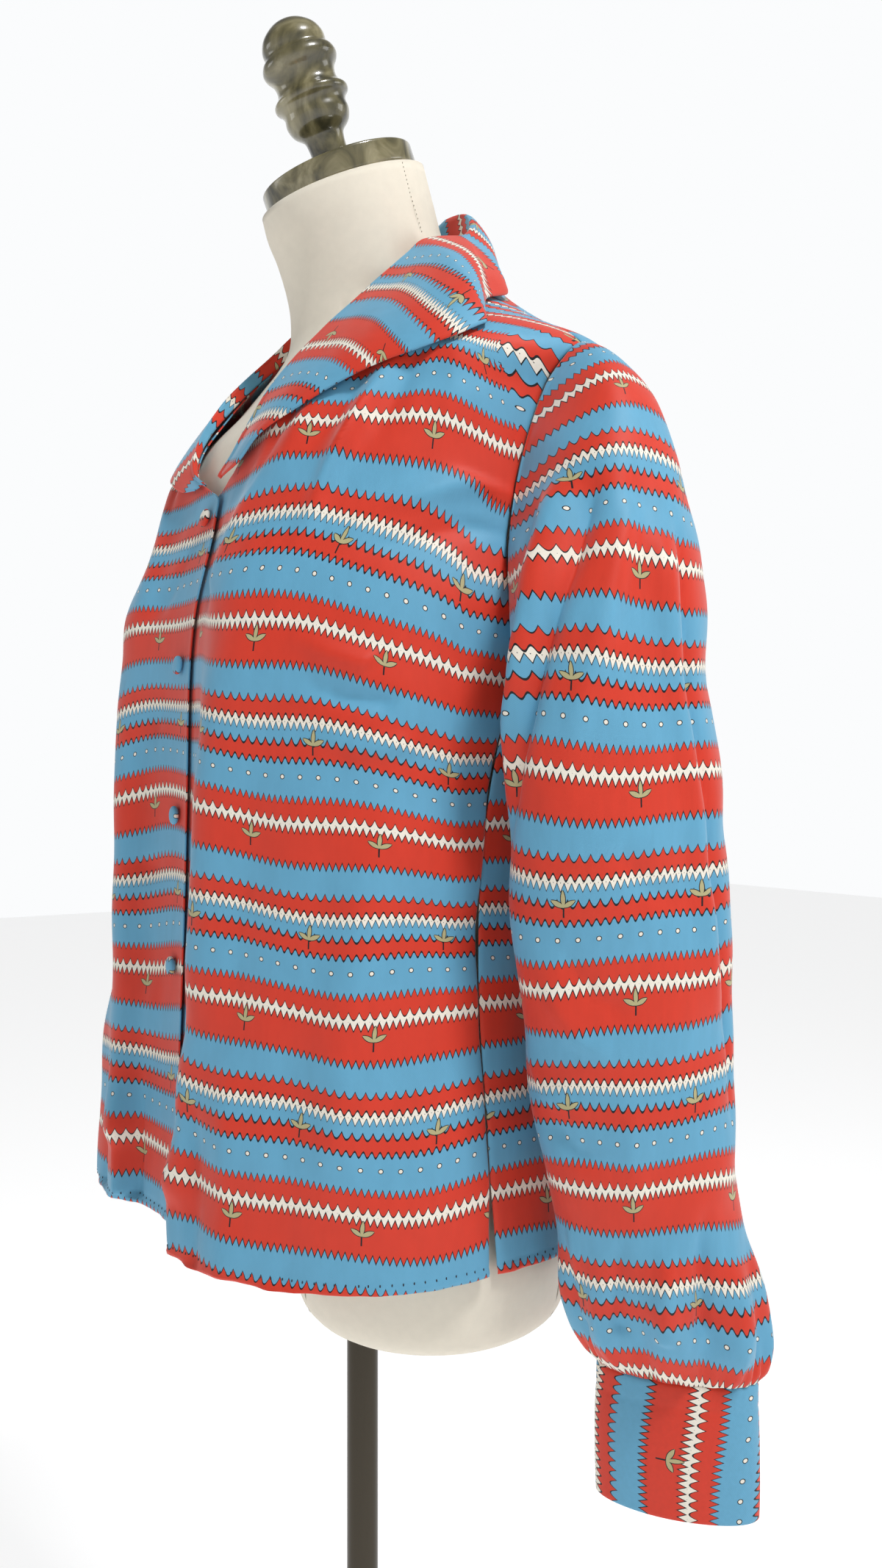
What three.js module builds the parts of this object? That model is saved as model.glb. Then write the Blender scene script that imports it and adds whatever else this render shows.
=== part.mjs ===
// A button-down blouse worn on a limbless dress form, in millimetres.
// +Z is up, the front of the blouse looks along -Y and the wearer's left is +X.
// The origin is the middle of the underside of the stand's base.

import * as THREE from 'three';

// Cloth
const CLOTH = 1.2;
const SEAM_GAP = 0.3;
const HEM_Z = 763;
const UNDERARM_Z = 1126;
const SHOULDER_TIP_Z = 1300;
const NECK_POINT_Z = 1386;
const NAPE_LIFT = 38;
const LAP_DROP = 2.4;
const APEX_X = 90;
const APEX_WIDTH = 42;
const SLIT_TOP_Z = 816;
const SLIT_HALF = 2.5;
const HEM_LIFT = 20;
const HEM_LIFT_X = 58;
const HEM_LIFT_REACH = 150;

// Armhole: the loop's middle line and half width, seen from the side
const ARMHOLE_LOW_Y = 8;
const ARMHOLE_SHIFT = 38;
const ARMHOLE_HALF = 38;

// Buttons
const BUTTON_RADIUS = 6;
const BUTTON_HEIGHT = 3.4;
const BUTTON_PITCH = 96;
const TOP_BUTTON_Z = 1212;
const FRONT_BUTTONS = 4;
const BUTTON_STANDOFF = 1.2;

// Dress form and stand
const CAP_RADIUS = 54;
const CAP_HEIGHT = 15;
const CAP_TILT = 23;
const CAP_CENTRE = new THREE.Vector3(0, -15, 1449);
const NECK_HALF = 54;
const NECK_DEPTH = 61;
const NECK_START_Z = 1290;
const THIGH_X = 91;
const THIGH_WEB = 24;
const POLE_RADIUS = 10.8;
const POLE_TOP_Z = 705.7;
const BASE_RADIUS = 165;
const BASE_HEIGHT = 26;
const FORM_COLUMNS = 30;

// Sections of the dress form: height, middle, tilt, ease under the cloth and thigh radius
const FORM = [
  { z: 706, y: 0, tilt: 0, ease: 0, thigh: 62 },
  { z: 709, y: 0, tilt: 0, ease: 0, thigh: 72 },
  { z: 717, y: 0, tilt: 0, ease: 0, thigh: 81 },
  { z: 732, y: -1, tilt: 0, ease: 0, thigh: 86 },
  { z: 762, y: -3, tilt: 0, ease: 0, thigh: 90 },
  { z: 805, y: -6, tilt: 0, ease: 15, thigh: 0 },
  { z: 880, y: -8, tilt: 0, ease: 12, thigh: 0 },
  { z: 970, y: -8, tilt: 0, ease: 14, thigh: 0 },
  { z: 1050, y: -8, tilt: 0, ease: 14, thigh: 0 },
  { z: 1126, y: -4, tilt: 0, ease: 12, thigh: 0 },
  { z: 1180, y: 0, tilt: 0, ease: 9, thigh: 0 },
  { z: 1230, y: 6, tilt: 0, ease: 7, thigh: 0 },
  { z: 1270, y: 8, tilt: 0, ease: 5, thigh: 0 },
  { z: 1288, y: 10, tilt: 0, ease: 7, thigh: 0 },
  { z: 1302, y: 11, tilt: 0, ease: 9, thigh: 0 },
  { z: 1320, y: 12, tilt: 0, ease: 7, thigh: 0 },
  { z: 1340, y: 12, tilt: 0, ease: 8, thigh: 0 },
  { z: 1360, y: 11, tilt: 0, ease: 12, thigh: 0 },
  { z: 1380, y: 8, tilt: 2, ease: 14, thigh: 0 },
  { z: 1408, y: 0, tilt: 9, ease: 0, thigh: 0 },
  { z: 1430, y: -9, tilt: 17, ease: 0, thigh: 0 },
  { z: 1449, y: -15, tilt: 23, ease: 0, thigh: 0 },
];

// Turned profile of the finial: radius and height along its own axis
const FINIAL = [[0, 0], [17.5, 0], [18, 3], [17, 6], [13.2, 8], [12.8, 13], [13.2, 19.5], [14.6, 24],
  [20, 29], [22.4, 35], [22, 40.5], [23.4, 44], [25.8, 46.5], [25.8, 49.5], [22.4, 53], [21, 57.5],
  [22, 63], [25.2, 67.5], [26.2, 71], [24.8, 75], [22, 78], [22, 84], [19, 90.5], [12.5, 96],
  [6, 98.5], [0, 99]];

// Level sections of the torso: half width, depth at centre front and centre back, squareness
// of the outline, how far the cloth stands off over the bust and the place of the side seam
const TORSO = [
  { z: 763, half: 188, front: 144, back: 116, square: 2.9, apex: 19, seam: -20 },
  { z: 850, half: 186, front: 140, back: 111, square: 2.8, apex: 19, seam: -24 },
  { z: 940, half: 181, front: 137, back: 104, square: 2.7, apex: 19, seam: -26 },
  { z: 1030, half: 180, front: 135, back: 100, square: 2.7, apex: 19, seam: -19 },
  { z: 1090, half: 183, front: 134, back: 103, square: 2.7, apex: 19, seam: -6 },
  { z: 1126, half: 186, front: 132, back: 106, square: 2.6, apex: 20, seam: 8 },
  { z: 1155, half: 184, front: 128, back: 109, square: 2.6, apex: 22, seam: 20 },
  { z: 1195, half: 181, front: 118, back: 113, square: 2.5, apex: 17, seam: 34 },
  { z: 1237, half: 181, front: 109, back: 116, square: 2.5, apex: 10, seam: 44 },
  { z: 1270, half: 184, front: 98, back: 116, square: 2.5, apex: 5, seam: 46 },
  { z: 1300, half: 187, front: 78, back: 113, square: 2.4, apex: 1, seam: 46 },
  { z: 1335, half: 134, front: 50, back: 100, square: 2.3, apex: 0, seam: 41 },
  { z: 1362, half: 96, front: 26, back: 87, square: 2.1, apex: 0, seam: 35 },
  { z: 1386, half: 71, front: 4, back: 72, square: 2, apex: 0, seam: 30 },
];

// Front edge of each front panel: the lap below the V, then the roll line up to the shoulder
const FRONT_EDGE = [
  { z: 763, x: -14 },
  { z: 1221, x: -14 },
  { z: 1233, x: 8 },
  { z: 1243, x: 31 },
  { z: 1256, x: 45 },
  { z: 1280, x: 56 },
  { z: 1320, x: 63 },
  { z: 1355, x: 66 },
  { z: 1386, x: 66.5 },
];

// Sleeve sections below the underarm: centre, half length and half depth of the oval, its turn
const SLEEVE = [
  { z: 1095, x: 232, y: 27, long: 60, deep: 41, turn: 0 },
  { z: 1030, x: 234, y: 30, long: 64, deep: 42, turn: 5 },
  { z: 970, x: 235, y: 33, long: 64, deep: 41, turn: 10 },
  { z: 900, x: 236, y: 37, long: 59, deep: 39, turn: 17 },
  { z: 840, x: 237, y: 42, long: 53, deep: 37, turn: 26 },
  { z: 790, x: 238, y: 50, long: 51, deep: 35, turn: 35 },
  { z: 756, x: 240, y: 58, long: 53, deep: 33, turn: 43 },
  { z: 732, x: 241, y: 63, long: 52, deep: 28, turn: 48 },
  { z: 717, x: 241, y: 66, long: 48, deep: 21, turn: 51 },
  { z: 710, x: 241, y: 67, long: 43.5, deep: 17, turn: 52 },
];
const CUFF_DEPTH = 75;
const SLEEVE_STANDOFF = 1.6;
const GATHERS = 8;
const GATHER_DEPTH = 3.2;
const GATHER_TOP_Z = 800;

// Stations of the collar from the V to the centre back: seam place, stand, and outer edge
const COLLAR = [
  { seamZ: 1236, turn: 0, stand: 3, x: 24, z: 1234 },
  { seamZ: 1245, turn: 0, stand: 4, x: 50, z: 1238 },
  { seamZ: 1260, turn: 0, stand: 5, x: 76, z: 1249 },
  { seamZ: 1282, turn: 0, stand: 7, x: 99, z: 1261 },
  { seamZ: 1306, turn: 0, stand: 8, x: 118, z: 1273 },
  { seamZ: 1332, turn: 0, stand: 9, x: 136, z: 1282 },
  { seamZ: 1356, turn: 0, stand: 12, x: 152, z: 1288 },
  { seamZ: 1374, turn: 0, stand: 15, x: 165, z: 1295 },
  { seamZ: 1382, turn: 0, stand: 17, x: 170, z: 1303 },
  { seamZ: 1386, turn: 3, stand: 18, x: 146, z: 1323 },
  { seamZ: 1386, turn: 8, stand: 19, x: 127, z: 1338 },
  { seamZ: 1386, turn: 16, stand: 20, x: 107, z: 1353 },
  { seamZ: 1386, turn: 34, stand: 23, x: 84, z: 1368 },
  { seamZ: 1386, turn: 54, stand: 25, x: 57, z: 1384 },
  { seamZ: 1386, turn: 72, stand: 27, x: 29, z: 1397 },
  { seamZ: 1386, turn: 90, stand: 28, x: 0, z: 1402 },
];

// How far the collar's roll leans in, its foot sits inside the front edge and its fall stands off
const ROLL_LEAN = 0.12;
const FOOT_IN = 3;
const FALL_STANDOFF = 3;
const EDGE_BEHIND_TURN = 10;
const ROLL_WIDTH = 4.5;

// Long soft ridges of the front panels: from, to, width and height
const FRONT_FOLDS = [
  { x0: 100, z0: 1312, x1: 62, z1: 1165, width: 12, height: 4 },
  { x0: 64, z0: 870, x1: 60, z1: 757, width: 15, height: 6 },
  { x0: 128, z0: 930, x1: 140, z1: 757, width: 18, height: 4 },
];
const BACK_FOLDS = [
  { x0: 96, z0: 1040, x1: 108, z1: 757, width: 24, height: 6 },
  { x0: 34, z0: 1000, x1: 38, z1: 757, width: 20, height: 5 },
];

// Columns and rows of each cloth piece
const FRONT_COLUMNS = 11;
const BACK_COLUMNS = 19;
const FRONT_LEVELS = [763, 800, 850, 910, 970, 1030, 1080, 1126, 1155, 1180, 1202, 1221, 1227,
  1233, 1239, 1247, 1259, 1278, 1296, 1318, 1340, 1362, 1382];
const BACK_LEVELS = [763, 805, 860, 920, 980, 1040, 1085, 1126, 1150, 1180, 1215, 1250, 1280,
  1300, 1320, 1342, 1364, 1386];
const SLEEVE_COLUMNS = 32;
const CAP_ROWS = 6;
const SLEEVE_ROWS = 11;
const CUFF_ROWS = 2;
const FALL_POINTS = 6;

const COLOURS = {
  front: 0xe5402f, back: 0xd93a2c, sleeve: 0xdf3f30, cuff: 0x6fb7de, collar: 0xe84a38,
  button: 0x6fb7de, linen: 0xe9e4d6, lacquer: 0x7b7351, steel: 0x4a4a42,
};

const radians = (degrees) => (degrees * Math.PI) / 180;
const smooth = (t) => THREE.MathUtils.smoothstep(t, 0, 1);

// Value of one column of a table at a height, along a smooth curve through its rows
function column(table, name, z) {
  const rising = table[0].z < table[table.length - 1].z;
  const rows = rising ? table : [...table].reverse();
  const last = rows.length - 1;
  const clamped = THREE.MathUtils.clamp(z, rows[0].z, rows[last].z);
  let i = 0;
  while (i < last - 1 && clamped > rows[i + 1].z) i += 1;
  const slope = (k) => {
    const a = rows[Math.max(k - 1, 0)];
    const b = rows[Math.min(k + 1, last)];
    return (b[name] - a[name]) / (b.z - a.z);
  };
  const span = rows[i + 1].z - rows[i].z;
  const t = (clamped - rows[i].z) / span;
  const h = t * t * (3 - 2 * t);
  return rows[i][name] * (1 - h) + rows[i + 1][name] * h
    + span * t * (1 - t) * ((1 - t) * slope(i) - t * slope(i + 1));
}

const power = (v, p) => Math.sign(v) * Math.abs(v) ** p;

// Height of the soft ridges of a panel at a point
function foldHeight(folds, x, z) {
  return folds.reduce((sum, f) => {
    const dx = f.x1 - f.x0;
    const dz = f.z1 - f.z0;
    const t = ((x - f.x0) * dx + (z - f.z0) * dz) / (dx * dx + dz * dz);
    const inside = THREE.MathUtils.clamp(t, 0, 1);
    const away = Math.hypot(x - f.x0 - inside * dx, z - f.z0 - inside * dz) / f.width;
    return sum + f.height * Math.sin(Math.PI * (0.08 + 0.6 * inside)) * Math.exp(-away * away);
  }, 0);
}

// Point of the torso: turn runs from -90 degrees at centre back over the side seam at 0 to
// 90 degrees at centre front, and past it to the other side
function torso(z, turn) {
  const half = column(TORSO, 'half', z);
  const seam = column(TORSO, 'seam', z);
  const exponent = 2 / column(TORSO, 'square', z);
  const across = half * power(Math.cos(turn), exponent);
  const depth = Math.abs(Math.sin(turn)) ** exponent;
  if (turn >= 0) {
    const bust = (Math.abs(across) - APEX_X) / APEX_WIDTH;
    const stand = column(TORSO, 'apex', z) * Math.exp(-bust * bust) * depth
      + foldHeight(FRONT_FOLDS, across, z);
    const front = column(TORSO, 'front', z) + seam;
    return new THREE.Vector3(across, seam - front * depth - stand, z);
  }
  const rise = Math.max(0, (z - SHOULDER_TIP_Z) / (NECK_POINT_Z - SHOULDER_TIP_Z));
  const lift = NAPE_LIFT * rise ** 1.5 * Math.sin(turn) ** 2;
  const back = column(TORSO, 'back', z) - seam;
  const drape = foldHeight(BACK_FOLDS, Math.abs(across), z);
  return new THREE.Vector3(across, seam + back * depth + drape, z + lift);
}

// Outward direction of the torso at a point
function torsoNormal(z, turn) {
  const step = 0.01;
  const around = torso(z, turn + step).sub(torso(z, turn - step));
  const up = torso(z + 2, turn).sub(torso(z - 2, turn));
  return up.cross(around).normalize();
}

// Turn at which the torso's outline reaches a distance from the middle, at the front
function turnAtX(z, x) {
  const share = power(x / column(TORSO, 'half', z), column(TORSO, 'square', z) / 2);
  return Math.acos(THREE.MathUtils.clamp(share, -1, 1));
}

// Middle line and half width of the armhole at a share of its height
function armhole(share) {
  const middle = ARMHOLE_LOW_Y + ARMHOLE_SHIFT * Math.sin((Math.PI / 2) * Math.min(1, share / 0.8));
  const half = ARMHOLE_HALF * Math.sqrt(Math.sin(Math.PI * THREE.MathUtils.clamp(share, 0, 1)));
  return { middle, half };
}

// Turn of the armhole's edge at a height, on the front or the back panel
function armholeTurn(z, front) {
  const share = (z - UNDERARM_Z) / (SHOULDER_TIP_Z - UNDERARM_Z);
  if (share <= 0 || share >= 1) return 0;
  const { middle, half } = armhole(share);
  const seam = column(TORSO, 'seam', z);
  const square = column(TORSO, 'square', z);
  const reach = front ? seam - (middle - half) : middle + half - seam;
  const depth = front ? column(TORSO, 'front', z) + seam : column(TORSO, 'back', z) - seam;
  return Math.asin(THREE.MathUtils.clamp(Math.max(reach, 0) / depth, 0, 1) ** (square / 2));
}

// Turns that part a stretch of a level section into equal lengths
function evenTurns(z, from, to, count) {
  const slit = SLIT_HALF * Math.max(0, (SLIT_TOP_Z - z) / (SLIT_TOP_Z - HEM_Z));
  const start = SEAM_GAP / 2 + slit;
  const steps = 90;
  const turns = [];
  const lengths = [0];
  for (let i = 0; i <= steps; i += 1) {
    turns.push(from + ((to - from) * i) / steps);
    if (i > 0) lengths.push(lengths[i - 1] + torso(z, turns[i]).distanceTo(torso(z, turns[i - 1])));
  }
  const total = lengths[steps];
  const result = [];
  for (let c = 0; c < count; c += 1) {
    const wanted = start + ((total - start) * c) / (count - 1);
    let i = 0;
    while (i < steps - 1 && lengths[i + 1] < wanted) i += 1;
    const t = (wanted - lengths[i]) / (lengths[i + 1] - lengths[i]);
    result.push(turns[i] + (turns[i + 1] - turns[i]) * t);
  }
  return result;
}

const mirrored = (point, side) => new THREE.Vector3(point.x * side, point.y, point.z);

// Closed wall from a grid of outer and inner points, with or without a join round the columns
function wall(outer, inner, closed) {
  const rows = outer.length;
  const columns = outer[0].length;
  const position = [];
  [...outer.flat(), ...inner.flat()].forEach((p) => position.push(p.x, p.y, p.z));
  const layer = rows * columns;
  const at = (k, r, c) => k * layer + r * columns + (c % columns);
  const index = [];
  const quad = (a, b, c, d) => index.push(a, b, c, a, c, d);
  const spans = closed ? columns : columns - 1;
  for (let r = 0; r < rows - 1; r += 1) {
    for (let c = 0; c < spans; c += 1) {
      quad(at(0, r, c), at(0, r, c + 1), at(0, r + 1, c + 1), at(0, r + 1, c));
      quad(at(1, r, c), at(1, r + 1, c), at(1, r + 1, c + 1), at(1, r, c + 1));
    }
  }
  for (let c = 0; c < spans; c += 1) {
    quad(at(0, 0, c), at(1, 0, c), at(1, 0, c + 1), at(0, 0, c + 1));
    quad(at(0, rows - 1, c), at(0, rows - 1, c + 1), at(1, rows - 1, c + 1), at(1, rows - 1, c));
  }
  if (!closed) {
    for (let r = 0; r < rows - 1; r += 1) {
      quad(at(0, r, 0), at(0, r + 1, 0), at(1, r + 1, 0), at(1, r, 0));
      quad(at(0, r, columns - 1), at(1, r, columns - 1), at(1, r + 1, columns - 1),
        at(0, r + 1, columns - 1));
    }
  }
  return facingOut(position, index);
}

// Indexed geometry with its faces pointing out, whichever way the grid ran
function facingOut(position, index) {
  const p = (i) => new THREE.Vector3().fromArray(position, i * 3);
  let volume = 0;
  for (let i = 0; i < index.length; i += 3) {
    volume += p(index[i]).dot(p(index[i + 1]).cross(p(index[i + 2])));
  }
  if (volume < 0) {
    for (let i = 0; i < index.length; i += 3) {
      [index[i + 1], index[i + 2]] = [index[i + 2], index[i + 1]];
    }
  }
  const geometry = new THREE.BufferGeometry();
  geometry.setAttribute('position', new THREE.Float32BufferAttribute(position, 3));
  geometry.setIndex(index);
  geometry.computeVertexNormals();
  return geometry;
}

// Directions across a grid of points, pointing to one chosen side
function gridNormals(points, closed, sign) {
  const rows = points.length;
  const columns = points[0].length;
  return points.map((row, r) => row.map((_, c) => {
    const before = closed ? (c + columns - 1) % columns : Math.max(c - 1, 0);
    const after = closed ? (c + 1) % columns : Math.min(c + 1, columns - 1);
    const along = points[r][after].clone().sub(points[r][before]);
    const up = points[Math.min(r + 1, rows - 1)][c].clone().sub(points[Math.max(r - 1, 0)][c]);
    return up.cross(along).normalize().multiplyScalar(sign);
  }));
}

function moved(points, normals, distance) {
  return points.map((row, r) => row.map((p, c) => p.clone().addScaledVector(normals[r][c], distance)));
}

// How far the left front lies under the right one near the closing
function underlap(x, z, side) {
  if (side < 0) return 0;
  const lap = smooth((40 - x) / 22);
  const below = smooth((1262 - z) / 24);
  return LAP_DROP * lap * below;
}

// The left front's hem is caught up beside the closing
function hemLift(x, z, side) {
  if (side < 0) return 0;
  const near = smooth((HEM_LIFT_X - x) / 18);
  return HEM_LIFT * near * (1 - smooth((z - HEM_Z) / HEM_LIFT_REACH));
}

function frontPanel(side) {
  const outer = [];
  const inner = [];
  FRONT_LEVELS.forEach((z) => {
    const edge = turnAtX(z, column(FRONT_EDGE, 'x', z));
    const turns = evenTurns(z, armholeTurn(z, true), edge, FRONT_COLUMNS);
    const points = turns.map((turn) => torso(z, turn));
    const normals = turns.map((turn) => torsoNormal(z, turn));
    points.forEach((p, c) => {
      p.addScaledVector(normals[c], -underlap(p.x, z, side));
      p.z += hemLift(p.x, z, side);
    });
    outer.push(points.map((p) => mirrored(p, side)));
    inner.push(points.map((p, c) => mirrored(p.clone().addScaledVector(normals[c], -CLOTH), side)));
  });
  return wall(outer, inner, false);
}

function backPanel() {
  const outer = [];
  const inner = [];
  const half = (BACK_COLUMNS - 1) / 2;
  BACK_LEVELS.forEach((z) => {
    const turns = evenTurns(z, -armholeTurn(z, false), -Math.PI / 2, half + 1);
    turns[half] = -Math.PI / 2;
    const left = turns.map((turn) => torso(z, turn));
    const normals = turns.map((turn) => torsoNormal(z, turn));
    const under = left.map((p, c) => p.clone().addScaledVector(normals[c], -CLOTH));
    const across = (row) => [...row, ...row.slice(0, half).reverse().map((p) => mirrored(p, -1))];
    outer.push(across(left));
    inner.push(across(under));
  });
  return wall(outer, inner, false);
}

// Point of a sleeve's level section; gathers swell it above the cuff
function sleeveSection(z, angle) {
  const turn = radians(column(SLEEVE, 'turn', z));
  const long = column(SLEEVE, 'long', z);
  const deep = column(SLEEVE, 'deep', z);
  const low = SLEEVE[SLEEVE.length - 1].z;
  const share = THREE.MathUtils.clamp((GATHER_TOP_Z - z) / (GATHER_TOP_Z - low), 0, 1);
  const swell = GATHER_DEPTH * Math.sin(Math.PI * share ** 1.6) * Math.cos(GATHERS * angle + 0.6);
  const along = (long + swell) * Math.cos(angle);
  const across = (deep + swell) * Math.sin(angle);
  return new THREE.Vector3(
    column(SLEEVE, 'x', z) + along * Math.sin(turn) + across * Math.cos(turn),
    column(SLEEVE, 'y', z) + along * Math.cos(turn) - across * Math.sin(turn),
    z,
  );
}

// Point of the armhole's loop, just outside the panels' edges
function armholePoint(angle) {
  const share = (1 + Math.sin(angle)) / 2;
  const { middle, half } = armhole(share);
  const z = UNDERARM_Z + (SHOULDER_TIP_Z - UNDERARM_Z) * share;
  const front = Math.cos(angle) < 0;
  const point = torso(z, (front ? 1 : -1) * armholeTurn(z, front));
  point.y = middle + half * Math.sign(Math.cos(angle)) * (Math.abs(Math.cos(angle)) < 1e-6 ? 0 : 1);
  point.x += SLEEVE_STANDOFF;
  return point;
}

// Rows of a sleeve from the armhole over its cap and down to the cuff
function sleeveGrid() {
  const top = SLEEVE[0].z;
  const low = SLEEVE[SLEEVE.length - 1].z + SEAM_GAP;
  const angles = Array.from({ length: SLEEVE_COLUMNS }, (_, c) => (2 * Math.PI * c) / SLEEVE_COLUMNS);
  const rows = [];
  for (let r = 0; r < CAP_ROWS; r += 1) {
    const t = r / CAP_ROWS;
    rows.push(angles.map((angle) => {
      const start = armholePoint(angle);
      const end = sleeveSection(top, angle);
      const reach = start.distanceTo(end);
      const out = Math.sin(angle);
      const rear = Math.max(Math.cos(angle), 0) * 0.3;
      const leave = new THREE.Vector3(0.5 + 0.45 * out, 0.18 * Math.cos(angle) + rear, -0.85 + 0.6 * out);
      leave.normalize().multiplyScalar(reach * 0.9);
      const arrive = new THREE.Vector3(0, 0.02, -1).multiplyScalar(reach * (0.9 + 0.35 * out));
      const h = t * t * (3 - 2 * t);
      return start.clone().multiplyScalar(1 - h).addScaledVector(end, h)
        .addScaledVector(leave, t * (1 - t) * (1 - t)).addScaledVector(arrive, -t * t * (1 - t));
    }));
  }
  for (let r = 0; r <= SLEEVE_ROWS; r += 1) {
    const t = r / SLEEVE_ROWS;
    const z = top + (low - top) * (1 - (1 - t) ** 1.35);
    rows.push(angles.map((angle) => sleeveSection(z, angle)));
  }
  return rows;
}

function sleeve(side) {
  const grid = sleeveGrid();
  const normals = gridNormals(grid, true, 1);
  const middle = grid[CAP_ROWS + 4].reduce((sum, p) => sum.add(p), new THREE.Vector3())
    .divideScalar(SLEEVE_COLUMNS);
  const sample = grid[CAP_ROWS + 4][0].clone().sub(middle);
  const sign = Math.sign(sample.dot(normals[CAP_ROWS + 4][0]));
  const inner = moved(grid, normals, -CLOTH * sign);
  const flip = (rows) => rows.map((row) => row.map((p) => mirrored(p, side)));
  return wall(flip(grid), flip(inner), true);
}

function cuff(side) {
  const low = SLEEVE[SLEEVE.length - 1];
  const turn = radians(low.turn);
  const ring = (z, thinner) => Array.from({ length: SLEEVE_COLUMNS }, (_, c) => {
    const angle = (2 * Math.PI * c) / SLEEVE_COLUMNS;
    const along = (low.long - thinner) * Math.cos(angle);
    const across = (low.deep - thinner) * Math.sin(angle);
    return new THREE.Vector3(
      side * (low.x + along * Math.sin(turn) + across * Math.cos(turn)),
      low.y + along * Math.cos(turn) - across * Math.sin(turn),
      z,
    );
  });
  const heights = Array.from({ length: CUFF_ROWS + 1 }, (_, r) => low.z - (CUFF_DEPTH * r) / CUFF_ROWS);
  return wall(heights.map((z) => ring(z, 0)), heights.map((z) => ring(z, CLOTH * 1.5)), true);
}

// One station of the collar: up the stand, over the roll and down the fall
function collarStation(station) {
  const front = station.turn === 0;
  const turn = front
    ? turnAtX(station.seamZ, column(FRONT_EDGE, 'x', station.seamZ))
    : -radians(station.turn);
  const seam = torso(station.seamZ, turn);
  const out = front
    ? new THREE.Vector3(1, 0, 0)
    : new THREE.Vector3(Math.cos(turn), -Math.sin(turn), 0);
  const normal = torsoNormal(station.seamZ, turn);
  const rise = new THREE.Vector3(0, 0, 1).lerp(normal, front ? 0.75 : 0.05).normalize();
  const foot = seam.clone().addScaledVector(rise, CLOTH).addScaledVector(out, front ? -FOOT_IN : -1);
  const lean = ROLL_LEAN * station.stand;
  const roll = foot.clone().addScaledVector(rise, station.stand).addScaledVector(out, -lean);
  const edge = collarEdge(station);
  const shoulder = roll.clone().addScaledVector(out, ROLL_WIDTH).addScaledVector(rise, -CLOTH / 2);
  const reach = shoulder.distanceTo(edge.point);
  const first = shoulder.clone().addScaledVector(out, reach * 0.08)
    .lerp(edge.point, 0.18);
  const second = edge.point.clone().addScaledVector(edge.normal, reach * 0.14)
    .addScaledVector(shoulder.clone().sub(edge.point), 0.25);
  const fall = new THREE.CubicBezierCurve3(shoulder, first, second, edge.point);
  return [foot, foot.clone().lerp(roll, 0.6), roll, ...fall.getPoints(FALL_POINTS - 1)];
}

// Outer edge of the collar, just clear of the panel below it
function collarEdge(station) {
  const back = station.turn > EDGE_BEHIND_TURN;
  const share = THREE.MathUtils.clamp(station.x / column(TORSO, 'half', station.z), 0, 0.995);
  const turn = Math.acos(share ** (column(TORSO, 'square', station.z) / 2)) * (back ? -1 : 1);
  let z = station.z;
  if (back) z -= torso(station.z, turn).z - station.z;
  const normal = torsoNormal(z, turn);
  const point = torso(z, turn).addScaledVector(normal, CLOTH + FALL_STANDOFF);
  return { point, normal };
}

function collar() {
  const left = COLLAR.map(collarStation);
  const right = left.slice(0, -1).reverse().map((row) => row.map((p) => mirrored(p, -1)));
  const grid = [...left, ...right];
  const normals = gridNormals(grid, false, 1);
  const middle = COLLAR.length - 1;
  const sign = Math.sign(normals[middle][FALL_POINTS].y);
  return wall(grid, moved(grid, normals, -CLOTH * sign), false);
}

function turned(profile, segments) {
  const points = profile.map(([r, z]) => new THREE.Vector2(r, z));
  const geometry = new THREE.LatheGeometry(points, segments);
  geometry.rotateX(Math.PI / 2);
  return geometry;
}

function material(name, roughness = 0.6, metalness = 0) {
  return new THREE.MeshStandardMaterial({ color: COLOURS[name], roughness, metalness });
}

const group = new THREE.Group();

function add(name, geometry, look) {
  const mesh = new THREE.Mesh(geometry, look);
  mesh.name = name;
  group.add(mesh);
  return mesh;
}

// Covered button with a slightly domed face
function buttonGeometry() {
  const radius = BUTTON_RADIUS;
  const height = BUTTON_HEIGHT;
  const profile = [[0, 0], [radius * 0.8, 0], [radius, height * 0.35], [radius * 0.93, height * 0.75],
    [radius * 0.55, height * 0.96], [0, height]];
  return turned(profile, 12);
}

function addFrontButtons() {
  for (let i = 0; i < FRONT_BUTTONS; i += 1) {
    const z = TOP_BUTTON_Z - i * BUTTON_PITCH;
    const turn = Math.PI / 2;
    const normal = torsoNormal(z, turn);
    const button = add(`button_${i + 1}`, buttonGeometry(), material('button'));
    button.position.copy(torso(z, turn).addScaledVector(normal, BUTTON_STANDOFF));
    button.quaternion.setFromUnitVectors(new THREE.Vector3(0, 0, 1), normal);
  }
}

// The cuff closes behind, on the side turned away from the front
function addCuffButton(side, name) {
  const low = SLEEVE[SLEEVE.length - 1];
  const turn = radians(low.turn);
  const normal = new THREE.Vector3(-side * Math.cos(turn), Math.sin(turn), 0);
  const button = add(name, buttonGeometry(), material('button'));
  button.position.set(side * low.x, low.y, low.z - CUFF_DEPTH / 2)
    .addScaledVector(normal, low.deep + SEAM_GAP + 0.1);
  button.quaternion.setFromUnitVectors(new THREE.Vector3(0, 0, 1), normal);
}

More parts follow.
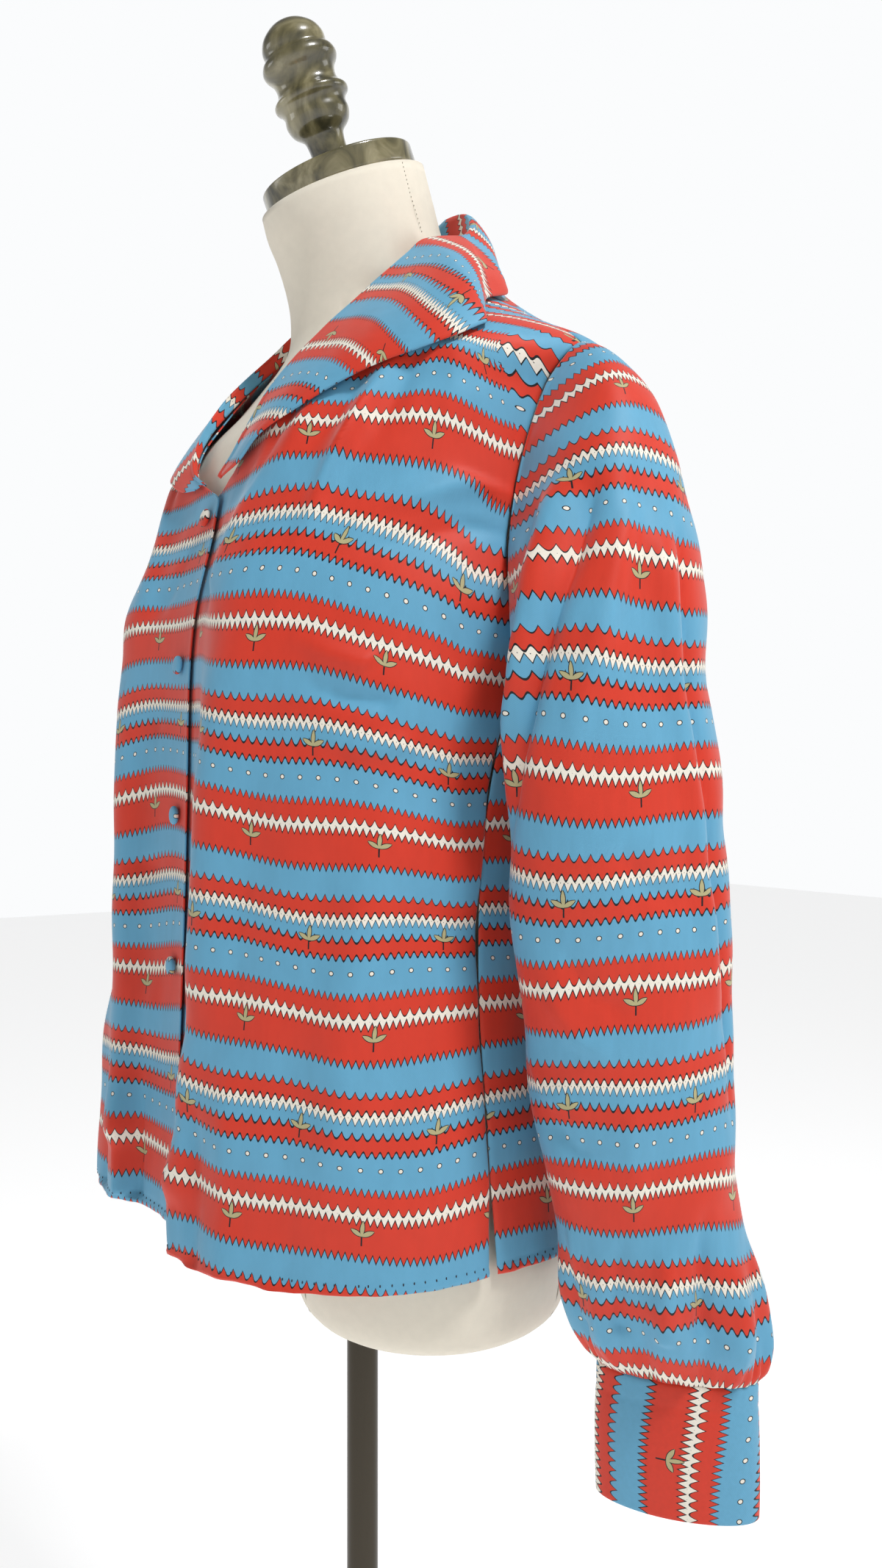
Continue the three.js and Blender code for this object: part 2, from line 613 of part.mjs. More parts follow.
// Outline of the dress form at one height: the torso under the cloth, the neck, the thighs
function formRing(row) {
  const ring = [];
  const angles = Array.from({ length: FORM_COLUMNS }, (_, c) => (2 * Math.PI * c) / FORM_COLUMNS);
  const outline = torsoOutline(row);
  angles.forEach((angle) => {
    const x = Math.cos(angle);
    const y = Math.sin(angle);
    const neck = 1 / Math.hypot(x / NECK_HALF, y / NECK_DEPTH);
    let reach = neck;
    if (row.ease > 0) {
      const body = outlineReach(outline, row.y, x, y);
      const blend = y < -0.8 ? 8 : 40;
      reach = row.z < NECK_START_Z ? body : (body ** blend + neck ** blend) ** (1 / blend);
    }
    if (row.thigh > 0) reach = thighReach(row.thigh, x, y);
    const back = reach * y;
    ring.push(new THREE.Vector3(
      reach * x,
      row.y + back * Math.cos(radians(row.tilt)),
      row.z + back * Math.sin(radians(row.tilt)),
    ));
  });
  return ring;
}

// Distance from the middle to the outline of two round thighs side by side
function thighReach(radius, x, y) {
  const inside = Math.max(radius ** 2 - (THIGH_X * y) ** 2, THIGH_WEB ** 2);
  return THIGH_X * Math.abs(x) + Math.sqrt(inside);
}

// Points of the torso's outline at a height, set in from the cloth by the row's ease
function torsoOutline(row) {
  const points = [];
  const steps = 120;
  for (let i = 0; i <= steps; i += 1) {
    const turn = -Math.PI / 2 + (Math.PI * i) / steps;
    const level = levelAt(row.z, turn);
    points.push(torso(level, turn).addScaledVector(torsoNormal(level, turn), -row.ease));
  }
  return points;
}

// Level of the torso's section that passes a real height at a turn
function levelAt(z, turn) {
  let low = HEM_Z;
  let high = NECK_POINT_Z;
  for (let i = 0; i < 24; i += 1) {
    const middle = (low + high) / 2;
    if (torso(middle, turn).z < z) low = middle;
    else high = middle;
  }
  return low;
}

function outlineReach(outline, centreY, x, y) {
  const wanted = Math.atan2(y, Math.abs(x));
  let best = outline[0];
  let next = outline[1];
  for (let i = 0; i < outline.length - 1; i += 1) {
    const a = Math.atan2(outline[i].y - centreY, outline[i].x);
    const b = Math.atan2(outline[i + 1].y - centreY, outline[i + 1].x);
    if ((a - wanted) * (b - wanted) <= 0) {
      best = outline[i];
      next = outline[i + 1];
    }
  }
  const a = Math.atan2(best.y - centreY, best.x);
  const b = Math.atan2(next.y - centreY, next.x);
  const t = Math.abs(b - a) < 1e-9 ? 0 : THREE.MathUtils.clamp((wanted - a) / (b - a), 0, 1);
  const ra = Math.hypot(best.x, best.y - centreY);
  const rb = Math.hypot(next.x, next.y - centreY);
  return ra + (rb - ra) * t;
}

// Solid from rings with flat ends
function loft(rings) {
  const columns = rings[0].length;
  const position = rings.flat().flatMap((p) => [p.x, p.y, p.z]);
  const index = [];
  for (let r = 0; r < rings.length - 1; r += 1) {
    for (let c = 0; c < columns; c += 1) {
      const a = r * columns + c;
      const b = r * columns + ((c + 1) % columns);
      index.push(a, b, b + columns, a, b + columns, a + columns);
    }
  }
  [0, rings.length - 1].forEach((r) => {
    const middle = rings[r].reduce((sum, p) => sum.add(p), new THREE.Vector3()).divideScalar(columns);
    const centre = position.length / 3;
    position.push(middle.x, middle.y, middle.z);
    for (let c = 0; c < columns; c += 1) {
      const a = r * columns + c;
      const b = r * columns + ((c + 1) % columns);
      if (r === 0) index.push(centre, b, a);
      else index.push(centre, a, b);
    }
  });
  return facingOut(position, index);
}

function addForm() {
  add('form_body', loft(FORM.map(formRing)), material('linen', 0.9));
  const tilt = radians(CAP_TILT);
  const place = (mesh, height) => {
    mesh.position.copy(CAP_CENTRE);
    mesh.position.add(new THREE.Vector3(0, -Math.sin(tilt), Math.cos(tilt)).multiplyScalar(height));
    mesh.rotation.x = tilt;
  };
  const edge = 1.6;
  const cap = turned([[0, 0], [CAP_RADIUS - edge, 0], [CAP_RADIUS, edge], [CAP_RADIUS, CAP_HEIGHT - edge],
    [CAP_RADIUS - edge, CAP_HEIGHT], [0, CAP_HEIGHT]], 32);
  place(add('neck_cap', cap, material('lacquer', 0.3)), SEAM_GAP);
  place(add('finial', turned(FINIAL, 20), material('lacquer', 0.25)), CAP_HEIGHT + 2 * SEAM_GAP);
}

function addStand() {
  const pole = turned([[0, 0], [POLE_RADIUS, 0], [POLE_RADIUS, POLE_TOP_Z - BASE_HEIGHT - SEAM_GAP],
    [0, POLE_TOP_Z - BASE_HEIGHT - SEAM_GAP]], 16);
  add('pole', pole, material('steel', 0.35, 0.9)).position.z = BASE_HEIGHT + SEAM_GAP;
  const rim = BASE_RADIUS;
  const base = turned([[0, 0], [rim - 2, 0], [rim, 2], [rim, 8], [rim - 3, 11], [rim - 40, 15],
    [26, 19], [22, BASE_HEIGHT], [0, BASE_HEIGHT]], 40);
  add('base', base, material('steel', 0.4, 0.9));
}

addFrontButtons();
addCuffButton(1, 'cuff_button_left');
addCuffButton(-1, 'cuff_button_right');
add('front_left', frontPanel(1), material('front'));
add('front_right', frontPanel(-1), material('front'));
add('back', backPanel(), material('back'));
add('sleeve_left', sleeve(1), material('sleeve'));
add('sleeve_right', sleeve(-1), material('sleeve'));
add('cuff_left', cuff(1), material('cuff'));
add('cuff_right', cuff(-1), material('cuff'));
add('collar', collar(), material('collar'));
addForm();
addStand();

export default group;
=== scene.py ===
"""Looks of a button-down blouse worn on a limbless dress form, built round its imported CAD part."""

import logging
import math
from dataclasses import dataclass, field
from enum import Enum

import bpy
import numpy as np
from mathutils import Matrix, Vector


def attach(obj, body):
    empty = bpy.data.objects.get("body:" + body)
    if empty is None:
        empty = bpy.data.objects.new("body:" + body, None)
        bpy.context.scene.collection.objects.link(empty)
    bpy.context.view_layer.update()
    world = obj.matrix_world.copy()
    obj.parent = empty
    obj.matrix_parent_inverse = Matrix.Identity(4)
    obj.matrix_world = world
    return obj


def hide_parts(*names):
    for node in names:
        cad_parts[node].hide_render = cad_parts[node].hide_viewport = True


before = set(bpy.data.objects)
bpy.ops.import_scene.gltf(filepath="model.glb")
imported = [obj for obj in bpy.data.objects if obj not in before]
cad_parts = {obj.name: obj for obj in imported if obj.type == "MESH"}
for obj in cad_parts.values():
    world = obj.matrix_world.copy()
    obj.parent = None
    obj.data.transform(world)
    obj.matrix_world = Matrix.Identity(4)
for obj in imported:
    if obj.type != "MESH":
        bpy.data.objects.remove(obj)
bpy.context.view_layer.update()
LOG = logging.getLogger("blouse")
SEED = 3757
MM = 0.001


class Side(Enum):
    """Wearer's side of a piece, as the sign of its X."""

    LEFT = 1
    RIGHT = -1


class Edge(Enum):
    """Form of the edge between two printed bands."""

    RICK = 0
    SCALLOP = 1
    RIPPLE = 2


def smooth(t: np.ndarray) -> np.ndarray:
    """Soft step from 0 to 1."""
    t = np.clip(t, 0.0, 1.0)
    return t * t * (3 - 2 * t)


def signed_power(v: np.ndarray, p: np.ndarray) -> np.ndarray:
    """Power that keeps the sign of its base."""
    return np.sign(v) * np.abs(v) ** p


def unit(v: np.ndarray) -> np.ndarray:
    """Vectors of the same directions and length 1."""
    return v / np.maximum(np.linalg.norm(v, axis=-1, keepdims=True), 1e-9)


def mirrored(points: np.ndarray, side: Side) -> np.ndarray:
    """Points on the wanted side of the wearer."""
    return points * np.array([side.value, 1.0, 1.0])


@dataclass(frozen=True)
class Curves:
    """Smooth curves through the rows of a table; the first column is the place along it."""

    names: tuple[str, ...]
    rows: tuple[tuple[float, ...], ...]

    def at(self, name: str, place: np.ndarray) -> np.ndarray:
        """Value of a column.

        Args:
            name: Column to read.
            place: Values of the first column.

        Returns:
            The column's value at each place, on a cubic curve through the rows.
        """
        table = np.array(sorted(self.rows), float)
        x, y = table[:, 0], table[:, self.names.index(name)]
        low, high = np.arange(len(x)) - 1, np.arange(len(x)) + 1
        low, high = np.clip(low, 0, len(x) - 1), np.clip(high, 0, len(x) - 1)
        slope = (y[high] - y[low]) / (x[high] - x[low])
        place = np.clip(np.asarray(place, float), x[0], x[-1])
        i = np.clip(np.searchsorted(x, place, side="left") - 1, 0, len(x) - 2)
        span = x[i + 1] - x[i]
        t = (place - x[i]) / span
        h = t * t * (3 - 2 * t)
        bend = (1 - t) * slope[i] - t * slope[i + 1]
        return y[i] * (1 - h) + y[i + 1] * h + span * t * (1 - t) * bend


@dataclass(frozen=True)
class Crease:
    """A soft ridge, or a trough where its height is below 0, along a line on a piece."""

    line: tuple[tuple[float, float], ...]
    width: float
    height: float
    start: float = 0.25
    end: float = 0.25
    crisp: float = 2.0


def relief(a: np.ndarray, b: np.ndarray, creases: tuple[Crease, ...]) -> np.ndarray:
    """Height that creases add to a surface.

    Args:
        a: First coordinate of each point, in millimetres.
        b: Second coordinate of each point, in millimetres.
        creases: Ridges and troughs.

    Returns:
        Height at each point, in millimetres.
    """
    total = np.zeros_like(a)
    for crease in creases:
        line = np.array(crease.line, float)
        lengths = np.linalg.norm(np.diff(line, axis=0), axis=1)
        begun = np.concatenate([[0], np.cumsum(lengths)])
        best = np.full(a.shape, 1e9)
        along = np.zeros_like(a)
        for k, length in enumerate(lengths):
            step = (line[k + 1] - line[k]) / length
            t = np.clip((a - line[k, 0]) * step[0] + (b - line[k, 1]) * step[1], 0, length)
            away = np.hypot(a - line[k, 0] - t * step[0], b - line[k, 1] - t * step[1])
            nearer = away < best
            best = np.where(nearer, away, best)
            along = np.where(nearer, (begun[k] + t) / begun[-1], along)
        fade = smooth(along / max(crease.start, 1e-3)) * smooth((1 - along) / max(crease.end, 1e-3))
        fade = fade if crease.start > 0 else smooth((1 - along) / max(crease.end, 1e-3))
        total += crease.height * fade * np.exp(-((best / crease.width) ** crease.crisp))
    return total


def unevenness(a: np.ndarray, b: np.ndarray, seed: int, size: float, waves: int = 9) -> np.ndarray:
    """Slow random swelling of hand-dressed cloth.

    Args:
        a: First coordinate, in millimetres.
        b: Second coordinate, in millimetres.
        seed: Seed of the pattern.
        size: Typical distance between swells, in millimetres.
        waves: Number of waves that are added up.

    Returns:
        Values of about -1 to 1.
    """
    rng = np.random.default_rng(SEED + seed)
    total = np.zeros_like(a)
    for _ in range(waves):
        angle, phase = rng.uniform(0, 2 * math.pi, 2)
        pitch = size * rng.uniform(0.6, 1.7)
        total += np.sin((a * math.cos(angle) + b * math.sin(angle)) * 2 * math.pi / pitch + phase)
    return total / math.sqrt(waves)


@dataclass(frozen=True)
class Torso:
    """Outer form of the body of the blouse, as level sections from the hem to the neck."""

    hem_z: float = 763.0
    underarm_z: float = 1126.0
    shoulder_tip_z: float = 1300.0
    neck_point_z: float = 1386.0
    nape_lift: float = 38.0
    apex_x: float = 90.0
    apex_width: float = 42.0
    sections: Curves = Curves(
        ("z", "half", "front", "back", "square", "apex", "seam"),
        (
            (763, 188, 144, 116, 2.9, 19, -20),
            (850, 186, 140, 111, 2.8, 19, -24),
            (940, 181, 137, 104, 2.7, 19, -26),
            (1030, 180, 135, 100, 2.7, 19, -19),
            (1090, 183, 134, 103, 2.7, 19, -6),
            (1126, 186, 132, 106, 2.6, 20, 8),
            (1155, 184, 128, 109, 2.6, 22, 20),
            (1195, 181, 118, 113, 2.5, 17, 34),
            (1237, 181, 109, 116, 2.5, 10, 44),
            (1270, 184, 98, 116, 2.5, 5, 46),
            (1300, 187, 78, 113, 2.4, 1, 46),
            (1335, 134, 50, 100, 2.3, 0, 41),
            (1362, 96, 26, 87, 2.1, 0, 35),
            (1386, 71, 4, 72, 2.0, 0, 30),
        ),
    )
    edge: Curves = Curves(
        ("z", "x"),
        ((763, -14), (1221, -14), (1233, 8), (1243, 31), (1256, 45), (1280, 56), (1320, 63),
         (1355, 66), (1386, 66.5)),
    )
    front_folds: tuple[tuple[float, ...], ...] = (
        (100, 1312, 62, 1165, 12, 4), (64, 870, 60, 757, 15, 6), (128, 930, 140, 757, 18, 4),
    )
    back_folds: tuple[tuple[float, ...], ...] = (
        (96, 1040, 108, 757, 24, 6), (34, 1000, 38, 757, 20, 5),
    )

    def fold_height(self, folds: tuple[tuple[float, ...], ...], x: np.ndarray, z: np.ndarray) -> np.ndarray:
        """Height of the long ridges that the CAD part has too.

        Args:
            folds: Rows of start, end, width and height.
            x: Distance from the middle.
            z: Height above the floor.

        Returns:
            Height of the ridges at each point.
        """
        total = np.zeros(np.broadcast(x, z).shape)
        for x0, z0, x1, z1, width, height in folds:
            dx, dz = x1 - x0, z1 - z0
            t = np.clip(((x - x0) * dx + (z - z0) * dz) / (dx * dx + dz * dz), 0, 1)
            away = np.hypot(x - x0 - t * dx, z - z0 - t * dz) / width
            total = total + height * np.sin(math.pi * (0.08 + 0.6 * t)) * np.exp(-away * away)
        return total

    def point(self, z: np.ndarray, turn: np.ndarray) -> np.ndarray:
        """Points of the surface.

        Args:
            z: Level of the section.
            turn: From -90 degrees at centre back over the side seam to 90 at centre front.

        Returns:
            Points, with X, Y and Z last.
        """
        z, turn = np.broadcast_arrays(np.asarray(z, float), np.asarray(turn, float))
        half, seam = self.sections.at("half", z), self.sections.at("seam", z)
        exponent = 2 / self.sections.at("square", z)
        across = half * signed_power(np.cos(turn), exponent)
        depth = np.abs(np.sin(turn)) ** exponent
        bust = (np.abs(across) - self.apex_x) / self.apex_width
        stand = self.sections.at("apex", z) * np.exp(-bust * bust) * depth
        stand = stand + self.fold_height(self.front_folds, across, z)
        front = seam - (self.sections.at("front", z) + seam) * depth - stand
        rise = np.maximum(0, (z - self.shoulder_tip_z) / (self.neck_point_z - self.shoulder_tip_z))
        lift = self.nape_lift * rise**1.5 * np.sin(turn) ** 2
        drape = self.fold_height(self.back_folds, np.abs(across), z)
        back = seam + (self.sections.at("back", z) - seam) * depth + drape
        return np.stack([across, np.where(turn >= 0, front, back), np.where(turn >= 0, z, z + lift)], -1)

    def normal(self, z: np.ndarray, turn: np.ndarray) -> np.ndarray:
        """Outward directions of the surface.

        Args:
            z: Level of the section.
            turn: Turn round the section.

        Returns:
            Unit directions.
        """
        around = self.point(z, turn + 0.01) - self.point(z, turn - 0.01)
        up = self.point(z + 2, turn) - self.point(z - 2, turn)
        return unit(np.cross(up, around))

    def turn_at_x(self, z: np.ndarray, x: np.ndarray) -> np.ndarray:
        """Turn at which the front of a section reaches a distance from the middle."""
        half, square = self.sections.at("half", z), self.sections.at("square", z)
        return np.arccos(np.clip(signed_power(x / half, square / 2), -1, 1))

    def armhole(self, share: np.ndarray) -> tuple[np.ndarray, np.ndarray]:
        """Middle line and half width of the armhole, seen from the side."""
        middle = 8 + 38 * np.sin((math.pi / 2) * np.minimum(1, share / 0.8))
        return middle, 38 * np.sqrt(np.maximum(np.sin(math.pi * np.clip(share, 0, 1)), 0))

    def armhole_turn(self, z: np.ndarray, front: bool) -> np.ndarray:
        """Turn of the armhole's edge.

        Args:
            z: Level of the section.
            front: Whether the front panel's edge is wanted.

        Returns:
            Turn from the side seam at each level.
        """
        share = (z - self.underarm_z) / (self.shoulder_tip_z - self.underarm_z)
        middle, half = self.armhole(share)
        seam, square = self.sections.at("seam", z), self.sections.at("square", z)
        reach = seam - (middle - half) if front else middle + half - seam
        depth = self.sections.at("front", z) + seam if front else self.sections.at("back", z) - seam
        turn = np.arcsin(np.clip(np.maximum(reach, 0) / depth, 0, 1) ** (square / 2))
        return np.where((share > 0) & (share < 1), turn, 0.0)

    def level_at(self, z: np.ndarray, turn: np.ndarray) -> np.ndarray:
        """Level of the section that passes a real height at a turn.

        Args:
            z: Real height.
            turn: Turn round the section.

        Returns:
            Level at each turn.
        """
        low = np.full(np.shape(turn), self.hem_z)
        high = np.full(np.shape(turn), self.neck_point_z)
        for _ in range(24):
            middle = (low + high) / 2
            under = self.point(middle, turn)[..., 2] < z
            low, high = np.where(under, middle, low), np.where(under, high, middle)
        return low


TORSO = Torso()


@dataclass(frozen=True)
class Cloth:
    """A piece of cloth as a grid of its outer points, with its place on the uncut cloth."""

    points: np.ndarray
    pattern: np.ndarray
    closed: bool = False
    thickness: float = 1.2
    sign: float = 1.0

    def normals(self) -> np.ndarray:
        """Outward directions of the grid.

        Returns:
            Unit directions, one for each point.
        """
        p = self.points
        if self.closed:
            around = np.roll(p, -1, 1) - np.roll(p, 1, 1)
        else:
            around = np.gradient(p, axis=1)
        return unit(np.cross(np.gradient(p, axis=0), around)) * self.sign

    def raised(self, height: np.ndarray) -> "Cloth":
        """The same piece with its surface moved out by a height at each point.

        Args:
            height: Height at each point, in millimetres.

        Returns:
            The raised piece.
        """
        return Cloth(
            self.points + self.normals() * height[..., None], self.pattern, self.closed,
            self.thickness, self.sign,
        )

    def area(self) -> float:
        """Area of the cloth, in square metres.

        Returns:
            Area of one side.
        """
        p = np.concatenate([self.points, self.points[:, :1]], 1) if self.closed else self.points
        a, b = p[1:, 1:] - p[:-1, :-1], p[1:, :-1] - p[:-1, 1:]
        return float(np.linalg.norm(np.cross(a, b), axis=-1).sum() / 2) * MM * MM

    def cut(self) -> tuple[float, float]:
        """Width and length of the piece on the uncut cloth, in metres."""
        span = self.pattern.reshape(-1, 2).max(0) - self.pattern.reshape(-1, 2).min(0)
        return float(span[0]) * MM, float(span[1]) * MM

    def build(self, name: str, border: float = 0.3) -> bpy.types.Object:
        """Makes the closed thin wall.

        Args:
            name: Name of the object.
            border: Share of the thickness that stays at a border, which rounds it.

        Returns:
            The object, in metres, with the pattern as its UV map.
        """
        rows, columns = self.points.shape[:2]
        wall = np.full((rows, columns), self.thickness)
        slim = self.thickness * (1 - border) / 2
        inset = np.zeros((rows, columns))
        inset[0], inset[-1] = slim, slim
        if not self.closed:
            inset[:, 0], inset[:, -1] = slim, slim
        normal = self.normals()
        outer = self.points - normal * inset[..., None]
        inner = self.points - normal * (wall - inset)[..., None]
        layer = rows * columns
        r = np.arange(rows - 1)[:, None]
        c = np.arange(columns if self.closed else columns - 1)[None, :]
        right = (c + 1) % columns
        a, b = r * columns + c, r * columns + right
        d, e = (r + 1) * columns + right, (r + 1) * columns + c
        top = np.stack([a, b, d, e], -1).reshape(-1, 4)
        under = top[:, ::-1] + layer
        ends = c[0]
        following = (ends + 1) % columns
        low = np.stack([ends + layer, following + layer, following, ends], -1)
        base = (rows - 1) * columns
        high = np.stack([base + ends, base + following, base + following + layer,
                         base + ends + layer], -1)
        faces = [top, under, low, high]
        if not self.closed:
            s = np.arange(rows - 1) * columns
            t = s + columns - 1
            faces.append(np.stack([s, s + columns, s + columns + layer, s + layer], -1))
            faces.append(np.stack([t + layer, t + columns + layer, t + columns, t], -1))
        quads = np.concatenate(faces)
        if self.sign > 0:
            quads = quads[:, ::-1]
        vertices = np.concatenate([outer.reshape(-1, 3), inner.reshape(-1, 3)])
        uv = np.concatenate([self.pattern.reshape(-1, 2)] * 2)[quads.ravel()]
        if self.closed:
            girth = self.pattern[:, :, 0].max() + (self.pattern[0, 1, 0] - self.pattern[0, 0, 0])
            flat = uv.reshape(-1, 4, 2)
            wrapped = (flat[:, :, 0].max(1) - flat[:, :, 0].min(1)) > girth / 2
            low_side = wrapped[:, None] & (flat[:, :, 0] < girth / 2)
            flat[:, :, 0] = np.where(low_side, flat[:, :, 0] + girth, flat[:, :, 0])
            uv = flat.reshape(-1, 2)
        return mesh_object(name, vertices, quads, uv)


def mesh_object(
    name: str, vertices: np.ndarray, quads: np.ndarray, uv: np.ndarray | None = None
) -> bpy.types.Object:
    """Makes a smooth-shaded mesh object.

    Args:
        name: Name of the object.
        vertices: Points, in millimetres.
        quads: Indices of the corners of each face.
        uv: Pattern place of each corner, in millimetres.

    Returns:
        The object, linked to the scene, in metres.
    """
    mesh = bpy.data.meshes.new(name)
    mesh.from_pydata((vertices * MM).tolist(), [], quads.tolist())
    mesh.shade_smooth()
    if uv is not None:
        layer = mesh.uv_layers.new(name="pattern")
        layer.data.foreach_set("uv", (uv * MM).astype(np.float32).ravel())
    mesh.update()
    shape = bpy.data.objects.new(name, mesh)
    bpy.context.scene.collection.objects.link(shape)
    return shape


def turned(name: str, profile: np.ndarray, segments: int = 96) -> bpy.types.Object:
    """Turned solid from a profile of radius and height, in millimetres.

    Args:
        name: Name of the object.
        profile: Radius and height of each place.
        segments: Number of steps round the axis.

    Returns:
        The object, in metres.
    """
    angle = np.linspace(0, 2 * math.pi, segments, endpoint=False)
    ring = np.stack([np.cos(angle), np.sin(angle)], -1)
    points = np.concatenate([profile[:, None, :1] * ring[None], np.broadcast_to(
        profile[:, None, 1:], (len(profile), segments, 1))], -1)
    r = np.arange(len(profile) - 1)[:, None]
    c = np.arange(segments)[None, :]
    n = (c + 1) % segments
    quads = np.stack([r * segments + c, r * segments + n, (r + 1) * segments + n,
                      (r + 1) * segments + c], -1).reshape(-1, 4)
    uv = np.stack([np.broadcast_to(angle * profile[:, 0].max(), points.shape[:2]),
                   points[..., 2]], -1)
    return mesh_object(name, points.reshape(-1, 3), quads, uv.reshape(-1, 2)[quads.ravel()])


def resampled(profile: tuple[tuple[float, float], ...], steps: int) -> np.ndarray:
    """Smooth profile through the given points, with a few points between each two.

    Args:
        profile: Radius and height of each given point.
        steps: Steps between two points.

    Returns:
        The finer profile.
    """
    p = np.array(profile, float)
    before = np.vstack([p[:1], p[:-1]])
    after = np.vstack([p[1:], p[-1:]])
    slope = (after - before) / 2
    out = []
    for i in range(len(p) - 1):
        for t in np.linspace(0, 1, steps, endpoint=False):
            h = t * t * (3 - 2 * t)
            bend = t * (1 - t) * ((1 - t) * slope[i] - t * slope[i + 1])
            out.append(p[i] * (1 - h) + p[i + 1] * h + bend)
    out.append(p[-1])
    result = np.array(out)
    result[:, 0] = np.maximum(result[:, 0], 0)
    return result


def linear(code: str) -> tuple[float, float, float, float]:
    """Linear colour with alpha 1 from a hex sRGB code.

    Args:
        code: Colour such as #A1B2C3.

    Returns:
        Red, green, blue and alpha.
    """
    values = [int(code[i:i + 2], 16) / 255 for i in (1, 3, 5)]
    r, g, b = (v / 12.92 if v <= 0.04045 else ((v + 0.055) / 1.055) ** 2.4 for v in values)
    return r, g, b, 1.0


def add_node(
    tree: bpy.types.NodeTree, kind: str, settings: dict | None = None, links: dict | None = None
) -> bpy.types.Node:
    """Adds a node to a tree.

    Args:
        tree: Tree that gets the node.
        kind: Blender's name of the node type.
        settings: Properties to set on the node.
        links: For each input, by name or number, a value, a socket or a node.

    Returns:
        The node.
    """
    node = tree.nodes.new(kind)
    for key, value in (settings or {}).items():
        setattr(node, key, value)
    for key, value in (links or {}).items():
        target = node.inputs[key]
        if isinstance(value, bpy.types.Node):
            value = value.outputs[0]
        if isinstance(value, Signal):
            value = value.socket
        if isinstance(value, bpy.types.NodeSocket):
            tree.links.new(value, target)
        else:
            target.default_value = value
    return node


@dataclass(frozen=True)
class Signal:
    """A number that runs through a shader tree, so that its formulas read as formulas."""

    tree: bpy.types.NodeTree
    socket: bpy.types.NodeSocket

    def op(self, operation: str, *others: "Signal | float") -> "Signal":
        """Result of a maths operation on this number and others.

        Args:
            operation: Blender's name of the operation.
            *others: The other numbers.

        Returns:
            The result.
        """
        links = {0: self, **{i + 1: other for i, other in enumerate(others)}}
        node = add_node(self.tree, "ShaderNodeMath", {"operation": operation}, links)
        return Signal(self.tree, node.outputs[0])

    def __add__(self, other: "Signal | float") -> "Signal":
        return self.op("ADD", other)

    def __sub__(self, other: "Signal | float") -> "Signal":
        return self.op("SUBTRACT", other)

    def __mul__(self, other: "Signal | float") -> "Signal":
        return self.op("MULTIPLY", other)

    def __truediv__(self, other: "Signal | float") -> "Signal":
        return self.op("DIVIDE", other)

    def below(self, limit: "Signal | float") -> "Signal":
        """1 where this number is under a limit, else 0."""
        return self.op("LESS_THAN", limit)

    def cell(self) -> "Signal":
        """Part after the decimal point, from -0.5 to 0.5."""
        return self.op("FRACT") - 0.5


class Finish:
    """Base of the finishes: makes a material with a Principled shader."""

    def material(self, name: str) -> bpy.types.Material:
        """Makes the material.

        Args:
            name: Name of the material.

        Returns:
            The finished material.
        """
        made = bpy.data.materials.new(name)
        made.use_nodes = True
        tree = made.node_tree
        tree.nodes.clear()
        shader = add_node(tree, "ShaderNodeBsdfPrincipled")
        output = add_node(tree, "ShaderNodeOutputMaterial")
        tree.links.new(shader.outputs[0], output.inputs[0])
        self.dress(tree, shader)
        return made

    def dress(self, tree: bpy.types.NodeTree, shader: bpy.types.Node) -> None:
        """Sets the shader's look; each finish has its own."""
        raise NotImplementedError


